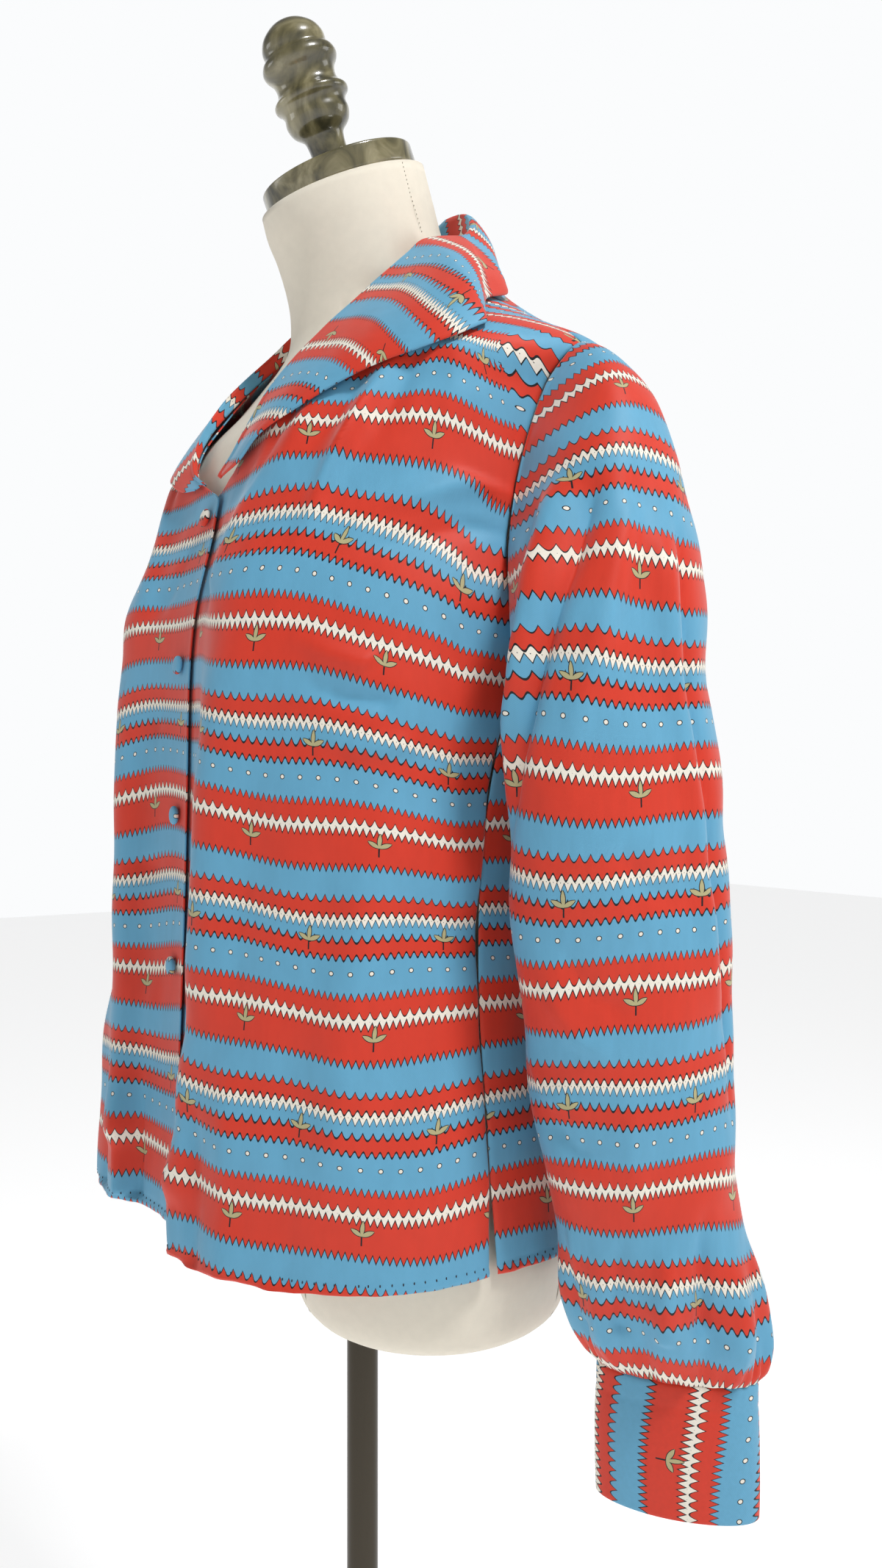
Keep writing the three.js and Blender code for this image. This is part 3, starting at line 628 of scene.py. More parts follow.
@dataclass(frozen=True)
class PrintedTwill(Finish):
    """Fine printed twill: crisp bands with wavy edges under a soft silky sheen."""

    red: str = "#D93A24"
    blue: str = "#65A9CB"
    cream: str = "#F3ECDE"
    line: str = "#14141A"
    olive: str = "#B9B184"
    grain: float = 0.0
    shift: tuple[float, float] = (0.0, 0.0)
    repeat: float = 112.0
    wave: float = 2.4
    sheen: float = 0.18

    def bands(self) -> list[tuple[str, float, Edge]]:
        """Colour, width in millimetres and edge form of each band of one repeat.

        Returns:
            The bands, from one end of the repeat to the other.
        """
        return [
            (self.red, 21.0, Edge.RICK), (self.cream, 6.0, Edge.SCALLOP), (self.red, 11.0, Edge.RICK),
            (self.blue, 22.0, Edge.RIPPLE), (self.red, 10.0, Edge.SCALLOP), (self.blue, 9.0, Edge.RICK),
            (self.cream, 5.0, Edge.RIPPLE), (self.red, 10.0, Edge.SCALLOP), (self.blue, 18.0, Edge.RICK),
        ]

    def dress(self, tree: bpy.types.NodeTree, shader: bpy.types.Node) -> None:
        """Lays the bands and sprigs, then the weave and sheen.

        Args:
            tree: Shader tree.
            shader: Principled shader.
        """
        place = add_node(tree, "ShaderNodeUVMap", {"uv_map": "pattern"})
        split = add_node(tree, "ShaderNodeSeparateXYZ", None, {0: place})
        along = Signal(tree, split.outputs[0]) * 1000.0
        across = Signal(tree, split.outputs[1]) * 1000.0
        c, s = math.cos(math.radians(self.grain)), math.sin(math.radians(self.grain))
        u = along * c + across * s + self.shift[0]
        v = across * c - along * s + self.shift[1]
        v = v + (u / 17.0 + v / 41.0).op("SINE") * 1.4 + (u / 43.0 + v / 90.0).op("SINE") * 3.4
        rick = ((u / 1.9).op("PINGPONG", 1.0) - 0.5) * (2 * self.wave)
        scallop = ((u / 1.75).op("SINE").op("ABSOLUTE") - 0.6) * (1.8 * self.wave)
        ripple = (u / 0.72).op("SINE") * self.wave * 0.7
        zone = self.ramp(tree, v, edges=True)
        parts = add_node(tree, "ShaderNodeSeparateColor", None, {0: zone})
        shape = (rick * Signal(tree, parts.outputs[0]) + scallop * Signal(tree, parts.outputs[1])
                 + ripple * Signal(tree, parts.outputs[2]))
        colour = self.ramp(tree, v + shape, edges=False).outputs[0]
        colour = self.sprigs(tree, u, v, colour)
        colour = self.dots(tree, u, v, colour)
        self.weave(tree, shader, u, v, colour)

    def ramp(self, tree: bpy.types.NodeTree, v: Signal, edges: bool) -> bpy.types.Node:
        """Ramp over one repeat.

        Args:
            tree: Shader tree.
            v: Place across the bands, in millimetres.
            edges: True for the edge forms as red, green and blue; False for the colours.

        Returns:
            The ramp node.
        """
        share = (v / self.repeat).op("FRACT")
        node = add_node(tree, "ShaderNodeValToRGB", None, {0: share})
        ramp = node.color_ramp
        ramp.interpolation = "CONSTANT"
        bands = self.bands()
        total = sum(width for _, width, _ in bands)
        stops: list[tuple[float, tuple[float, float, float, float]]] = []
        start = 0.0
        rim = 0.5
        for i, (colour, width, form) in enumerate(bands):
            if edges:
                flags = (*(float(form is edge) for edge in Edge), 1.0)
                stops.append(((start + width / 2) / total, flags))
            else:
                stops.append(((start + rim) / total, linear(colour)))
                stops.append(((start + width - rim) / total, linear(self.line)))
            start += width
        if edges:
            stops.insert(0, (0.0, stops[-1][1]))
        else:
            stops.insert(0, (0.0, linear(self.line)))
        while len(ramp.elements) < len(stops):
            ramp.elements.new(1.0)
        for element, (position, colour) in zip(ramp.elements, stops):
            element.position = position
            element.color = colour
        return node

    def paint(
        self, tree: bpy.types.NodeTree, mask: Signal, below: bpy.types.NodeSocket, code: str
    ) -> bpy.types.NodeSocket:
        """Lays a colour over another where a mask is 1."""
        links = {0: mask, 6: below, 7: linear(code)}
        return add_node(tree, "ShaderNodeMix", {"data_type": "RGBA"}, links).outputs[2]

    def sprigs(
        self, tree: bpy.types.NodeTree, u: Signal, v: Signal, below: bpy.types.NodeSocket
    ) -> bpy.types.NodeSocket:
        """Leaf sprigs in half-drop rows: two leaves on a short stem.

        Args:
            tree: Shader tree.
            u: Place along the bands.
            v: Place across the bands.
            below: Colour to paint on.

        Returns:
            Colour with the sprigs.
        """
        row = v / (self.repeat / 2)
        odd = row.op("FLOOR") * 0.5
        x = (u / 78.0 + odd).cell() * 78.0
        y = row.cell() * (self.repeat / 2) + 15.0
        fill = None
        rim = None
        for lean, long, broad in ((0.45, 4.0, 1.3), (2.6, 3.7, 1.2), (1.5, 4.7, 1.1)):
            along = x * math.cos(lean) + y * math.sin(lean) - long * 0.9
            across = (y * math.cos(lean) - x * math.sin(lean)).op("ABSOLUTE")
            lens = (along / long).op("POWER", 2.0) * broad + across
            inside, edge = lens.below(broad), lens.below(broad + 0.45)
            near = along.op("ABSOLUTE").below(long)
            inside, edge = inside * near, edge * near
            fill = inside if fill is None else fill.op("MAXIMUM", inside)
            rim = edge if rim is None else rim.op("MAXIMUM", edge)
        stem = x.op("ABSOLUTE").below(0.45) * (y + 2.5).op("ABSOLUTE").below(3.2)
        below = self.paint(tree, rim.op("MAXIMUM", stem), below, self.line)
        return self.paint(tree, fill, below, self.olive)

    def dots(
        self, tree: bpy.types.NodeTree, u: Signal, v: Signal, below: bpy.types.NodeSocket
    ) -> bpy.types.NodeSocket:
        """A row of small ringed dots in the middle of one band of each repeat.

        Args:
            tree: Shader tree.
            u: Place along the bands.
            v: Place across the bands.
            below: Colour to paint on.

        Returns:
            Colour with the dots.
        """
        x = (u / 11.0).cell() * 11.0
        y = ((v - 51.0) / self.repeat + 0.5).cell() * self.repeat
        away = (x * x + y * y).op("SQRT")
        below = self.paint(tree, away.below(1.5), below, self.line)
        return self.paint(tree, away.below(1.05), below, self.cream)

    def weave(
        self, tree: bpy.types.NodeTree, shader: bpy.types.Node, u: Signal, v: Signal,
        colour: bpy.types.NodeSocket,
    ) -> None:
        """Twill lines, a little unevenness of the dye and a soft sheen.

        Args:
            tree: Shader tree.
            shader: Principled shader.
            u: Place along the bands.
            v: Place across the bands.
            colour: Printed colour.
        """
        links = {"Scale": 28.0, "Detail": 3.0}
        cloud = add_node(tree, "ShaderNodeTexNoise", {"noise_dimensions": "3D"}, links)
        shade = Signal(tree, cloud.outputs[0]) * 0.16 + 0.92
        twill = ((u + v) * (2 * math.pi / 0.9)).op("SINE")
        links = {0: colour, 3: shade + twill * 0.03}
        dyed = add_node(tree, "ShaderNodeVectorMath", {"operation": "SCALE"}, links)
        bump = add_node(tree, "ShaderNodeBump", None, {"Height": twill, "Strength": 0.12, "Distance": 0.0001})
        values = {
            "Base Color": dyed, "Normal": bump, "Roughness": 0.58, "Sheen Weight": self.sheen,
            "Sheen Roughness": 0.4, "Specular IOR Level": 0.35,
        }
        for key, value in values.items():
            if isinstance(value, bpy.types.Node):
                tree.links.new(value.outputs[0], shader.inputs[key])
            else:
                shader.inputs[key].default_value = value


@dataclass(frozen=True)
class Linen(Finish):
    """Off-white linen drawn tight: matt, with a fine uneven plain weave."""

    colour: str = "#E9E1D0"
    thread: float = 0.55

    def dress(self, tree: bpy.types.NodeTree, shader: bpy.types.Node) -> None:
        """Sets the thread pattern and the matt body.

        Args:
            tree: Shader tree.
            shader: Principled shader.
        """
        place = add_node(tree, "ShaderNodeTexCoord")
        split = add_node(tree, "ShaderNodeSeparateXYZ", None, {0: place.outputs["UV"]})
        u = Signal(tree, split.outputs[0]) * 1000.0
        v = Signal(tree, split.outputs[1]) * 1000.0
        warp = (u * (2 * math.pi / self.thread)).op("SINE")
        weft = (v * (2 * math.pi / self.thread)).op("SINE")
        links = {"Scale": 160.0, "Detail": 4.0, "Vector": place.outputs["Object"]}
        slub = add_node(tree, "ShaderNodeTexNoise", None, links)
        height = warp * weft + Signal(tree, slub.outputs[0]) * 1.5
        links = {"Height": height, "Strength": 0.25, "Distance": 0.00015}
        bump = add_node(tree, "ShaderNodeBump", None, links)
        tint = Signal(tree, slub.outputs[0]) * 0.10 + 0.95
        links = {0: linear(self.colour)[:3], 3: tint}
        base = add_node(tree, "ShaderNodeVectorMath", {"operation": "SCALE"}, links)
        tree.links.new(base.outputs[0], shader.inputs["Base Color"])
        tree.links.new(bump.outputs[0], shader.inputs["Normal"])
        shader.inputs["Roughness"].default_value = 0.9
        shader.inputs["Sheen Weight"].default_value = 0.1


@dataclass(frozen=True)
class MarbledLacquer(Finish):
    """Glossy olive-brown lacquer with cloudy marbling under a clear coat."""

    dark: str = "#33311F"
    middle: str = "#6F6849"
    light: str = "#9A9272"

    def dress(self, tree: bpy.types.NodeTree, shader: bpy.types.Node) -> None:
        """Sets the marbling and the clear coat.

        Args:
            tree: Shader tree.
            shader: Principled shader.
        """
        place = add_node(tree, "ShaderNodeTexCoord")
        links = {"Vector": place.outputs["Object"], "Scale": 26.0, "Detail": 5.0, "Distortion": 2.2}
        cloud = add_node(tree, "ShaderNodeTexNoise", None, links)
        ramp = add_node(tree, "ShaderNodeValToRGB", None, {0: cloud})
        ramp.color_ramp.elements[0].position = 0.32
        ramp.color_ramp.elements[0].color = linear(self.dark)
        ramp.color_ramp.elements[1].position = 0.68
        ramp.color_ramp.elements[1].color = linear(self.light)
        ramp.color_ramp.elements.new(0.5).color = linear(self.middle)
        tree.links.new(ramp.outputs[0], shader.inputs["Base Color"])
        shader.inputs["Roughness"].default_value = 0.32
        shader.inputs["Coat Weight"].default_value = 0.8
        shader.inputs["Coat Roughness"].default_value = 0.08


@dataclass(frozen=True)
class BronzedSteel(Finish):
    """Dark bronze-brown satin steel, a little worn."""

    colour: str = "#47423A"

    def dress(self, tree: bpy.types.NodeTree, shader: bpy.types.Node) -> None:
        """Sets the metal and its uneven gloss.

        Args:
            tree: Shader tree.
            shader: Principled shader.
        """
        cloud = add_node(tree, "ShaderNodeTexNoise", None, {"Scale": 40.0, "Detail": 3.0})
        rough = Signal(tree, cloud.outputs[0]) * 0.2 + 0.22
        shader.inputs["Base Color"].default_value = linear(self.colour)
        shader.inputs["Metallic"].default_value = 1.0
        tree.links.new(rough.socket, shader.inputs["Roughness"])


@dataclass(frozen=True)
class Thread(Finish):
    """Fine sewing thread: matt and slightly fuzzy."""

    colour: str = "#2A2A30"

    def dress(self, tree: bpy.types.NodeTree, shader: bpy.types.Node) -> None:
        """Sets the matt thread colour."""
        shader.inputs["Base Color"].default_value = linear(self.colour)
        shader.inputs["Roughness"].default_value = 0.8


@dataclass(frozen=True)
class PaperFloor(Finish):
    """Seamless pale studio paper."""

    colour: str = "#FAFAFA"
    glow: float = 0.6

    def dress(self, tree: bpy.types.NodeTree, shader: bpy.types.Node) -> None:
        """Sets the matt paper colour and a faint glow, as of paper lit from behind.

        Args:
            tree: Shader tree.
            shader: Principled shader.
        """
        shader.inputs["Emission Color"].default_value = linear(self.colour)
        shader.inputs["Emission Strength"].default_value = self.glow
        shader.inputs["Base Color"].default_value = linear(self.colour)
        shader.inputs["Roughness"].default_value = 0.95


def placed(shape: bpy.types.Object, material: bpy.types.Material, slot: str, *nodes: str) -> bpy.types.Object:
    """Dresses a piece and ties it to the frame.

    Args:
        shape: The piece.
        material: Its material.
        slot: Not used.
        *nodes: CAD nodes that it stands for.

    Returns:
        The piece.
    """
    shape.data.materials.append(material)
    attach(shape, "root")
    if nodes:
        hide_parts(*nodes)
    return shape


def path_lengths(points: np.ndarray, axis: int) -> np.ndarray:
    """Distance travelled along an axis of a grid, starting at 0.

    Args:
        points: Grid of points.
        axis: Axis to travel along.

    Returns:
        Distance at each point.
    """
    steps = np.linalg.norm(np.diff(points, axis=axis), axis=-1)
    start = np.zeros_like(np.take(steps, [0], axis=axis))
    return np.concatenate([start, np.cumsum(steps, axis=axis)], axis)


def edged(low: float, high: float, count: int, lip: float = 0.7) -> np.ndarray:
    """Even places between two ends, with one more place just inside each end."""
    inner = np.linspace(low, high, count)
    return np.concatenate([[low], [low + lip], inner[1:-1], [high - lip], [high]])


@dataclass(frozen=True)
class Panels:
    """The two fronts and the back: their grids, drape, hem and seams."""

    gap: float = 0.3
    slit_top_z: float = 816.0
    slit_half: float = 2.5
    lap_drop: float = 2.4
    hem_lift: float = 20.0
    drop: Curves = Curves(
        ("z", "front", "back"),
        ((763, 0, 0), (812, 0, 0), (870, 5, 4), (945, 14, 9), (1030, 34, 20), (1085, 44, 28), (1140, 46, 32),
         (1190, 34, 28), (1240, 14, 18), (1300, 2, 8), (1386, 0, 4)),
    )
    grain_z: float = 1206.0
    grain_x: float = 160.0
    grain_over: float = 0.75
    grain_lean: float = 0.4
    grain_blend: float = 60.0
    hem_lift_x: float = 58.0
    hem_lift_reach: float = 150.0
    rows: int = 230
    front_columns: int = 96
    back_columns: int = 78
    front_creases: tuple[Crease, ...] = (
        Crease(((140, 1300), (137, 1278), (131, 1252), (126, 1230), (121, 1205), (120, 1165)),
               5.0, 9.0, 0.5, 0.6, 1.7),
        Crease(((150, 1296), (148, 1272), (143, 1246), (138, 1222)), 5.5, -3.2, 0.1, 0.6, 1.8),
        Crease(((126, 1290), (122, 1266), (114, 1240), (108, 1214)), 6.0, -3.2, 0.1, 0.6),
        Crease(((108, 1280), (102, 1256), (96, 1232), (88, 1205)), 6.0, 4.4, 0.5, 0.7),
        Crease(((92, 1268), (84, 1246), (76, 1226), (66, 1204)), 6.0, -4.0, 0.02, 0.7),
        Crease(((166, 1296), (168, 1262), (166, 1228)), 6.0, 2.6, 0.1, 0.6),
        Crease(((100, 1150), (78, 1080), (72, 1000), (66, 900), (62, 790)), 16, 6.5, 0.4, 0.05),
        Crease(((122, 1120), (112, 1040), (106, 960), (100, 860)), 15, -4.0, 0.4, 0.3),
        Crease(((60, 846), (59, 800), (57, 763)), 5.0, 5.6, 0.7, 0.01, 1.6),
        Crease(((47, 870), (45, 810), (44, 763)), 5.5, -4.0, 0.7, 0.01),
        Crease(((78, 880), (80, 820), (82, 763)), 8, -3.4, 0.5, 0.01),
        Crease(((104, 920), (106, 840), (108, 763)), 10, 3.0, 0.5, 0.01),
        Crease(((134, 940), (138, 850), (140, 763)), 10, -2.8, 0.5, 0.01),
        Crease(((164, 1105), (146, 1112), (122, 1128)), 6.5, 5.0, 0.1, 0.7),
        Crease(((172, 1084), (152, 1088), (124, 1104)), 6.0, -4.6, 0.1, 0.7),
        Crease(((176, 1062), (160, 1060), (136, 1072)), 7.0, 3.6, 0.1, 0.7),
        Crease(((172, 1040), (162, 980), (158, 900), (160, 800)), 10, 4.4, 0.3, 0.2),
        Crease(((178, 1000), (177, 900), (178, 800)), 7, -2.6, 0.3, 0.3),
        Crease(((176, 1215), (156, 1200), (132, 1190)), 7, 4.4, 0.1, 0.7),
        Crease(((178, 1190), (160, 1176), (138, 1168)), 6, -2.4, 0.1, 0.7),
        Crease(((12, 1180), (40, 1158), (74, 1146)), 8, -3.0, 0.2, 0.5),
        Crease(((10, 1090), (36, 1076), (64, 1078)), 8, -2.6, 0.2, 0.5),
        Crease(((10, 990), (40, 980), (70, 986)), 8, -2.4, 0.2, 0.5),
        Crease(((8, 930), (30, 900), (40, 860)), 9, 2.8, 0.2, 0.5),
    )
    back_creases: tuple[Crease, ...] = (
        Crease(((172, 1090), (150, 1060), (128, 1000), (116, 900), (110, 763)), 16, 3.0, 0.2, 0.05),
        Crease(((176, 1060), (160, 1000), (146, 900), (142, 763)), 12, -2.4, 0.3, 0.05),
        Crease(((60, 1060), (64, 980), (70, 860), (72, 763)), 15, -2.6, 0.4, 0.05),
        Crease(((30, 1030), (34, 940), (38, 763)), 14, 2.4, 0.4, 0.05),
        Crease(((4, 1000), (6, 900), (5, 763)), 12, -1.8, 0.4, 0.05),
        Crease(((150, 1290), (132, 1240), (122, 1180)), 9, 2.2, 0.15, 0.6),
        Crease(((168, 1150), (140, 1170), (108, 1178)), 10, 1.8, 0.1, 0.7),
    )

    def turns(self, z: np.ndarray, start: np.ndarray, end: np.ndarray, count: int) -> np.ndarray:
        """Turns that part a stretch of each section into even lengths.

        Args:
            z: Level of each section.
            start: Turn at the side seam or armhole.
            end: Turn at the other end.
            count: Number of places between the ends.

        Returns:
            Turns, a row for each level.
        """
        slit = self.slit_half * np.maximum(0, (self.slit_top_z - z) / (self.slit_top_z - TORSO.hem_z))
        shares = np.linspace(0, 1, 240)
        tries = start[:, None] + (end - start)[:, None] * shares
        lengths = path_lengths(TORSO.point(z[:, None], tries), 1)
        out = []
        for r in range(len(z)):
            wanted = edged(self.gap / 2 + slit[r], lengths[r, -1], count)
            out.append(np.interp(wanted, lengths[r], tries[r]))
        return np.array(out)

    def hem(self, z: np.ndarray, along: np.ndarray) -> np.ndarray:
        """Swell of the narrow rolled hem, which puckers a little.

        Args:
            z: Level of each point.
            along: Distance along the hem.

        Returns:
            Height at each point.
        """
        roll = np.exp(-(((z - TORSO.hem_z - 2.6) / 2.3) ** 2)) * 0.7
        pucker = unevenness(along, np.zeros_like(along), 5, 17) * np.exp(-((z - TORSO.hem_z) / 7))
        stitch = -0.45 * np.exp(-(((z - TORSO.hem_z - 5.8) / 0.9) ** 2))
        return roll + 0.5 * pucker + stitch

    def seam(self, away: np.ndarray) -> np.ndarray:
        """Dip of the cloth where it rolls into a seam."""
        return -0.75 * np.exp(-((away / 1.5) ** 2)) - 0.25 * np.exp(-(((away - 5) / 4) ** 2))

    def front(self, side: Side) -> Cloth:
        """Front panel of one side.

        Args:
            side: Wearer's side; the right one laps over the left one.

        Returns:
            The panel, draped as it hangs.
        """
        z = edged(TORSO.hem_z, 1382, self.rows)
        start = TORSO.armhole_turn(z, True)
        end = TORSO.turn_at_x(z, TORSO.edge.at("x", z))
        turns = self.turns(z, start, end, self.front_columns)
        level = z[:, None] + 0 * turns
        p = TORSO.point(level, turns)
        n = TORSO.normal(level, turns)
        x = p[..., 0]
        r = int(np.argmin(np.abs(z - self.grain_z)))
        climb = np.maximum(0, level - self.grain_z)
        beyond = np.maximum(0, x - self.grain_x)
        base = np.interp(np.minimum(x, self.grain_x), x[r, ::-1], p[r, ::-1, 1]) + beyond
        over = self.grain_over * np.maximum(0, p[..., 1] - base)
        shift = 4.0 if side is Side.RIGHT else 0.0
        height = relief(x + shift, level - shift, self.front_creases)
        calm = smooth((x - 16) / 22) * smooth((1375 - level) / 30)
        height = height * calm + unevenness(x, level, side.value + 1, 74) * 0.8 * calm
        away = path_lengths(p, 1)
        height = height + self.seam(away) + self.hem(level, away + 9 * side.value)
        if side is Side.LEFT:
            lap = smooth((40 - x) / 22) * smooth((1262 - level) / 24)
            height = height - self.lap_drop * lap - 1.6 * smooth((20 - x) / 16)
            near = smooth((self.hem_lift_x - x) / 18)
            lift = self.hem_lift * near * (1 - smooth((level - TORSO.hem_z) / self.hem_lift_reach))
            p[..., 2] += lift
        else:
            height = height + 0.5 * np.exp(-(((away[:, -1:] - away) / 3.5) ** 2))
        p = p + n * height[..., None]
        across = np.where(TORSO.edge.at("x", z) > 0, x[:, -1], -14.0)[:, None] + away[:, -1:] - away
        upper = np.interp(x, x[r, ::-1], across[r, ::-1]) + np.maximum(0, x - x[r].max())
        upper = upper + self.grain_lean * over
        share = smooth((level - self.grain_z + self.grain_blend) / self.grain_blend)
        across = across * (1 - share) + upper * share
        fall = self.drop.at("front", level) * np.clip(across / 240, 0, 1) ** 2.1
        pattern = np.stack([across * side.value, level + fall + over * smooth((climb - 10) / 90)], -1)
        return Cloth(mirrored(p, side), pattern, sign=float(side.value))

    def back(self) -> Cloth:
        """The back panel, from one side seam to the other.

        Returns:
            The panel, draped as it hangs.
        """
        z = edged(TORSO.hem_z, TORSO.neck_point_z, self.rows)
        start = -TORSO.armhole_turn(z, False)
        turns = self.turns(z, start, np.full_like(z, -math.pi / 2), self.back_columns)
        turns = np.delete(turns, -2, axis=1)
        level = z[:, None] + 0 * turns
        p, n = TORSO.point(level, turns), TORSO.normal(level, turns)
        away = path_lengths(p, 1)
        halves = []
        for side in (Side.LEFT, Side.RIGHT):
            shift = 5.0 if side is Side.RIGHT else 0.0
            calm = smooth((1380 - level) / 40)
            height = relief(p[..., 0] + shift, level, self.back_creases) * calm
            height = height + unevenness(p[..., 0] * side.value, level, 9, 80) * 0.8 * calm
            height = height + self.seam(away) + self.hem(level, (away[:, -1:] - away) * side.value)
            halves.append(mirrored(p + n * height[..., None], side))
        middle = (halves[0][:, -1:] + halves[1][:, -1:]) / 2
        grid = np.concatenate([halves[0][:, :-1], middle, halves[1][:, -2::-1]], 1)
        along = (away[:, -1:] - away)
        u = np.concatenate([along[:, :-1], along[:, -1:], -along[:, -2::-1]], 1)
        v = np.concatenate([level[:, :-1], level[:, -1:], level[:, -2::-1]], 1)
        rise = path_lengths(grid, 0)
        v = np.where(v > 1200, 1200 + rise - rise[np.searchsorted(z, 1200)][None], v)
        v = v + self.drop.at("back", v) * np.clip(np.abs(u) / 230, 0, 1) ** 2.1
        return Cloth(grid, np.stack([u + 40, v], -1), sign=-1.0)


@dataclass(frozen=True)
class Sleeve:
    """A long set-in sleeve that is gathered into its cuff."""

    sections: Curves = Curves(
        ("z", "x", "y", "long", "deep", "turn"),
        (
            (1095, 232, 27, 60, 41, 0),
            (1030, 234, 30, 64, 42, 5),
            (970, 235, 33, 64, 41, 10),
            (900, 236, 37, 59, 39, 17),
            (840, 237, 42, 53, 37, 26),
            (790, 238, 50, 51, 35, 35),
            (756, 240, 58, 53, 33, 43),
            (732, 241, 63, 52, 28, 48),
            (717, 241, 66, 48, 21, 51),
            (710, 241, 67, 43.5, 17, 52),
        ),
    )
    low: float = 710.0
    top: float = 1095.0
    gap: float = 0.3
    gathers: int = 8
    gather_depth: float = 4.2
    gather_top_z: float = 800.0
    cuff_depth: float = 75.0
    standoff: float = 1.6
    columns: int = 150
    cap_rows: int = 64
    rows: int = 140
    creases: tuple[Crease, ...] = (
        Crease(((126, 1215), (144, 1152), (168, 1095), (186, 1045), (200, 985)), 8, 8.0, 0.15, 0.4, 1.7),
        Crease(((146, 1215), (164, 1160), (184, 1102), (200, 1050), (210, 1000)), 8, -7.0, 0.15, 0.4),
        Crease(((104, 1200), (120, 1140), (138, 1080), (150, 1020)), 8, -4.4, 0.15, 0.6),
        Crease(((84, 1195), (76, 1155), (67, 1088), (57, 1018), (46, 949), (34, 900), (28, 840)),
               5.0, 5.6, 0.1, 0.2, 1.3),
        Crease(((98, 1190), (90, 1150), (81, 1088), (71, 1018), (60, 949), (48, 890)), 6.5, -4.2, 0.15, 0.3),
        Crease(((76, 1230), (82, 1170), (86, 1110), (84, 1050)), 9, -2.6, 0.3, 0.5),
        Crease(((100, 1225), (108, 1160), (112, 1100)), 9, 2.4, 0.3, 0.5),
        Crease(((120, 1010), (98, 985), (70, 972)), 7, 2.8, 0.3, 0.5),
        Crease(((150, 960), (128, 930), (96, 912)), 7, 3.0, 0.4, 0.4),
        Crease(((160, 940), (138, 910), (108, 893)), 6, -2.8, 0.4, 0.4),
        Crease(((190, 905), (160, 876), (128, 862)), 7, -2.8, 0.4, 0.4),
        Crease(((170, 870), (140, 845), (112, 838)), 7, 2.6, 0.4, 0.4),
        Crease(((110, 900), (104, 840), (100, 790)), 8, -2.2, 0.4, 0.4),
        Crease(((240, 1020), (250, 960), (262, 880)), 9, 3.4, 0.3, 0.4),
        Crease(((300, 1040), (310, 960), (300, 880)), 9, -3.2, 0.3, 0.4),
        Crease(((222, 1080), (228, 1000), (226, 930)), 8, -3.0, 0.3, 0.4),
        Crease(((58, 820), (64, 780), (68, 742)), 5.5, 3.6, 0.4, 0.1),
        Crease(((84, 800), (88, 765), (90, 738)), 4.5, -3.0, 0.4, 0.1),
        Crease(((112, 806), (116, 770), (118, 738)), 5.0, 3.0, 0.4, 0.1),
        Crease(((150, 810), (148, 775), (146, 740)), 5.0, -3.0, 0.4, 0.1),
        Crease(((200, 830), (192, 790), (186, 742)), 6, 3.4, 0.4, 0.1),
        Crease(((268, 830), (262, 790), (258, 742)), 6, 3.4, 0.4, 0.1),
        Crease(((318, 820), (314, 780), (312, 742)), 6, -3.0, 0.4, 0.1),
    )

    def section(self, z: np.ndarray, angle: np.ndarray) -> np.ndarray:
        """Point of a level section; small gathers swell it above the cuff.

        Args:
            z: Level of the section.
            angle: Angle round the sleeve.

        Returns:
            Points of the section.
        """
        turn = np.radians(self.sections.at("turn", z))
        share = np.clip((self.gather_top_z - z) / (self.gather_top_z - self.low), 0, 1)
        wave = np.cos(self.gathers * angle + 0.6)
        fade = smooth((share - 0.62) / 0.3) * (1 - 0.7 * smooth((share - 0.93) / 0.07))
        fine = np.cos(23 * angle + 1.1 * np.sin(2 * angle)) * fade
        swell = self.gather_depth * np.sin(math.pi * share**1.6) * wave + 1.1 * fine
        along = (self.sections.at("long", z) + swell) * np.cos(angle)
        across = (self.sections.at("deep", z) + swell) * np.sin(angle)
        x = self.sections.at("x", z) + along * np.sin(turn) + across * np.cos(turn)
        y = self.sections.at("y", z) + along * np.cos(turn) - across * np.sin(turn)
        return np.stack(np.broadcast_arrays(x, y, z), -1)

    def armhole_loop(self, angle: np.ndarray) -> np.ndarray:
        """Points of the armhole, just outside the panels' edges.

        Args:
            angle: Angle round the sleeve.

        Returns:
            Points of the loop.
        """
        share = (1 + np.sin(angle)) / 2
        middle, half = TORSO.armhole(share)
        z = TORSO.underarm_z + (TORSO.shoulder_tip_z - TORSO.underarm_z) * share
        front = np.cos(angle) < 0
        turn = np.where(front, TORSO.armhole_turn(z, True), -TORSO.armhole_turn(z, False))
        point = TORSO.point(z, turn)
        point[..., 0] += self.standoff
        point[..., 1] = middle + half * np.where(np.abs(np.cos(angle)) < 1e-6, 0, np.sign(np.cos(angle)))
        return point

    def grid(self) -> tuple[np.ndarray, np.ndarray]:
        """Rows from the armhole over the cap and down to the cuff, with each point's angle.

        Returns:
            The points and their angles.
        """
        angle = np.linspace(0, 2 * math.pi, self.columns, endpoint=False)
        start = self.armhole_loop(angle)
        end = self.section(np.full_like(angle, self.top), angle)
        reach = np.linalg.norm(end - start, axis=-1)[:, None]
        out, lean = np.sin(angle)[:, None], np.cos(angle)[:, None]
        leave = unit(np.concatenate([0.5 + 0.45 * out, 0.18 * lean + 0.3 * np.maximum(lean, 0),
                                     -0.85 + 0.6 * out], 1)) * reach * 0.9
        arrive = np.array([0, 0.02, -1.0])[None] * reach * (0.9 + 0.35 * out)
        rows = []
        for t in np.concatenate([[0, 0.006], np.linspace(0, 1, self.cap_rows, endpoint=False)[1:]]):
            h = t * t * (3 - 2 * t)
            rows.append(start * (1 - h) + end * h + leave * t * (1 - t) ** 2 - arrive * t * t * (1 - t))
        t = np.linspace(0, 1, self.rows)
        heights = self.top + (self.low + self.gap - self.top) * (1 - (1 - t) ** 1.35)
        rows.extend(self.section(np.full_like(angle, z), angle) for z in heights)
        return np.array(rows), np.broadcast_to(angle, (len(rows), self.columns))

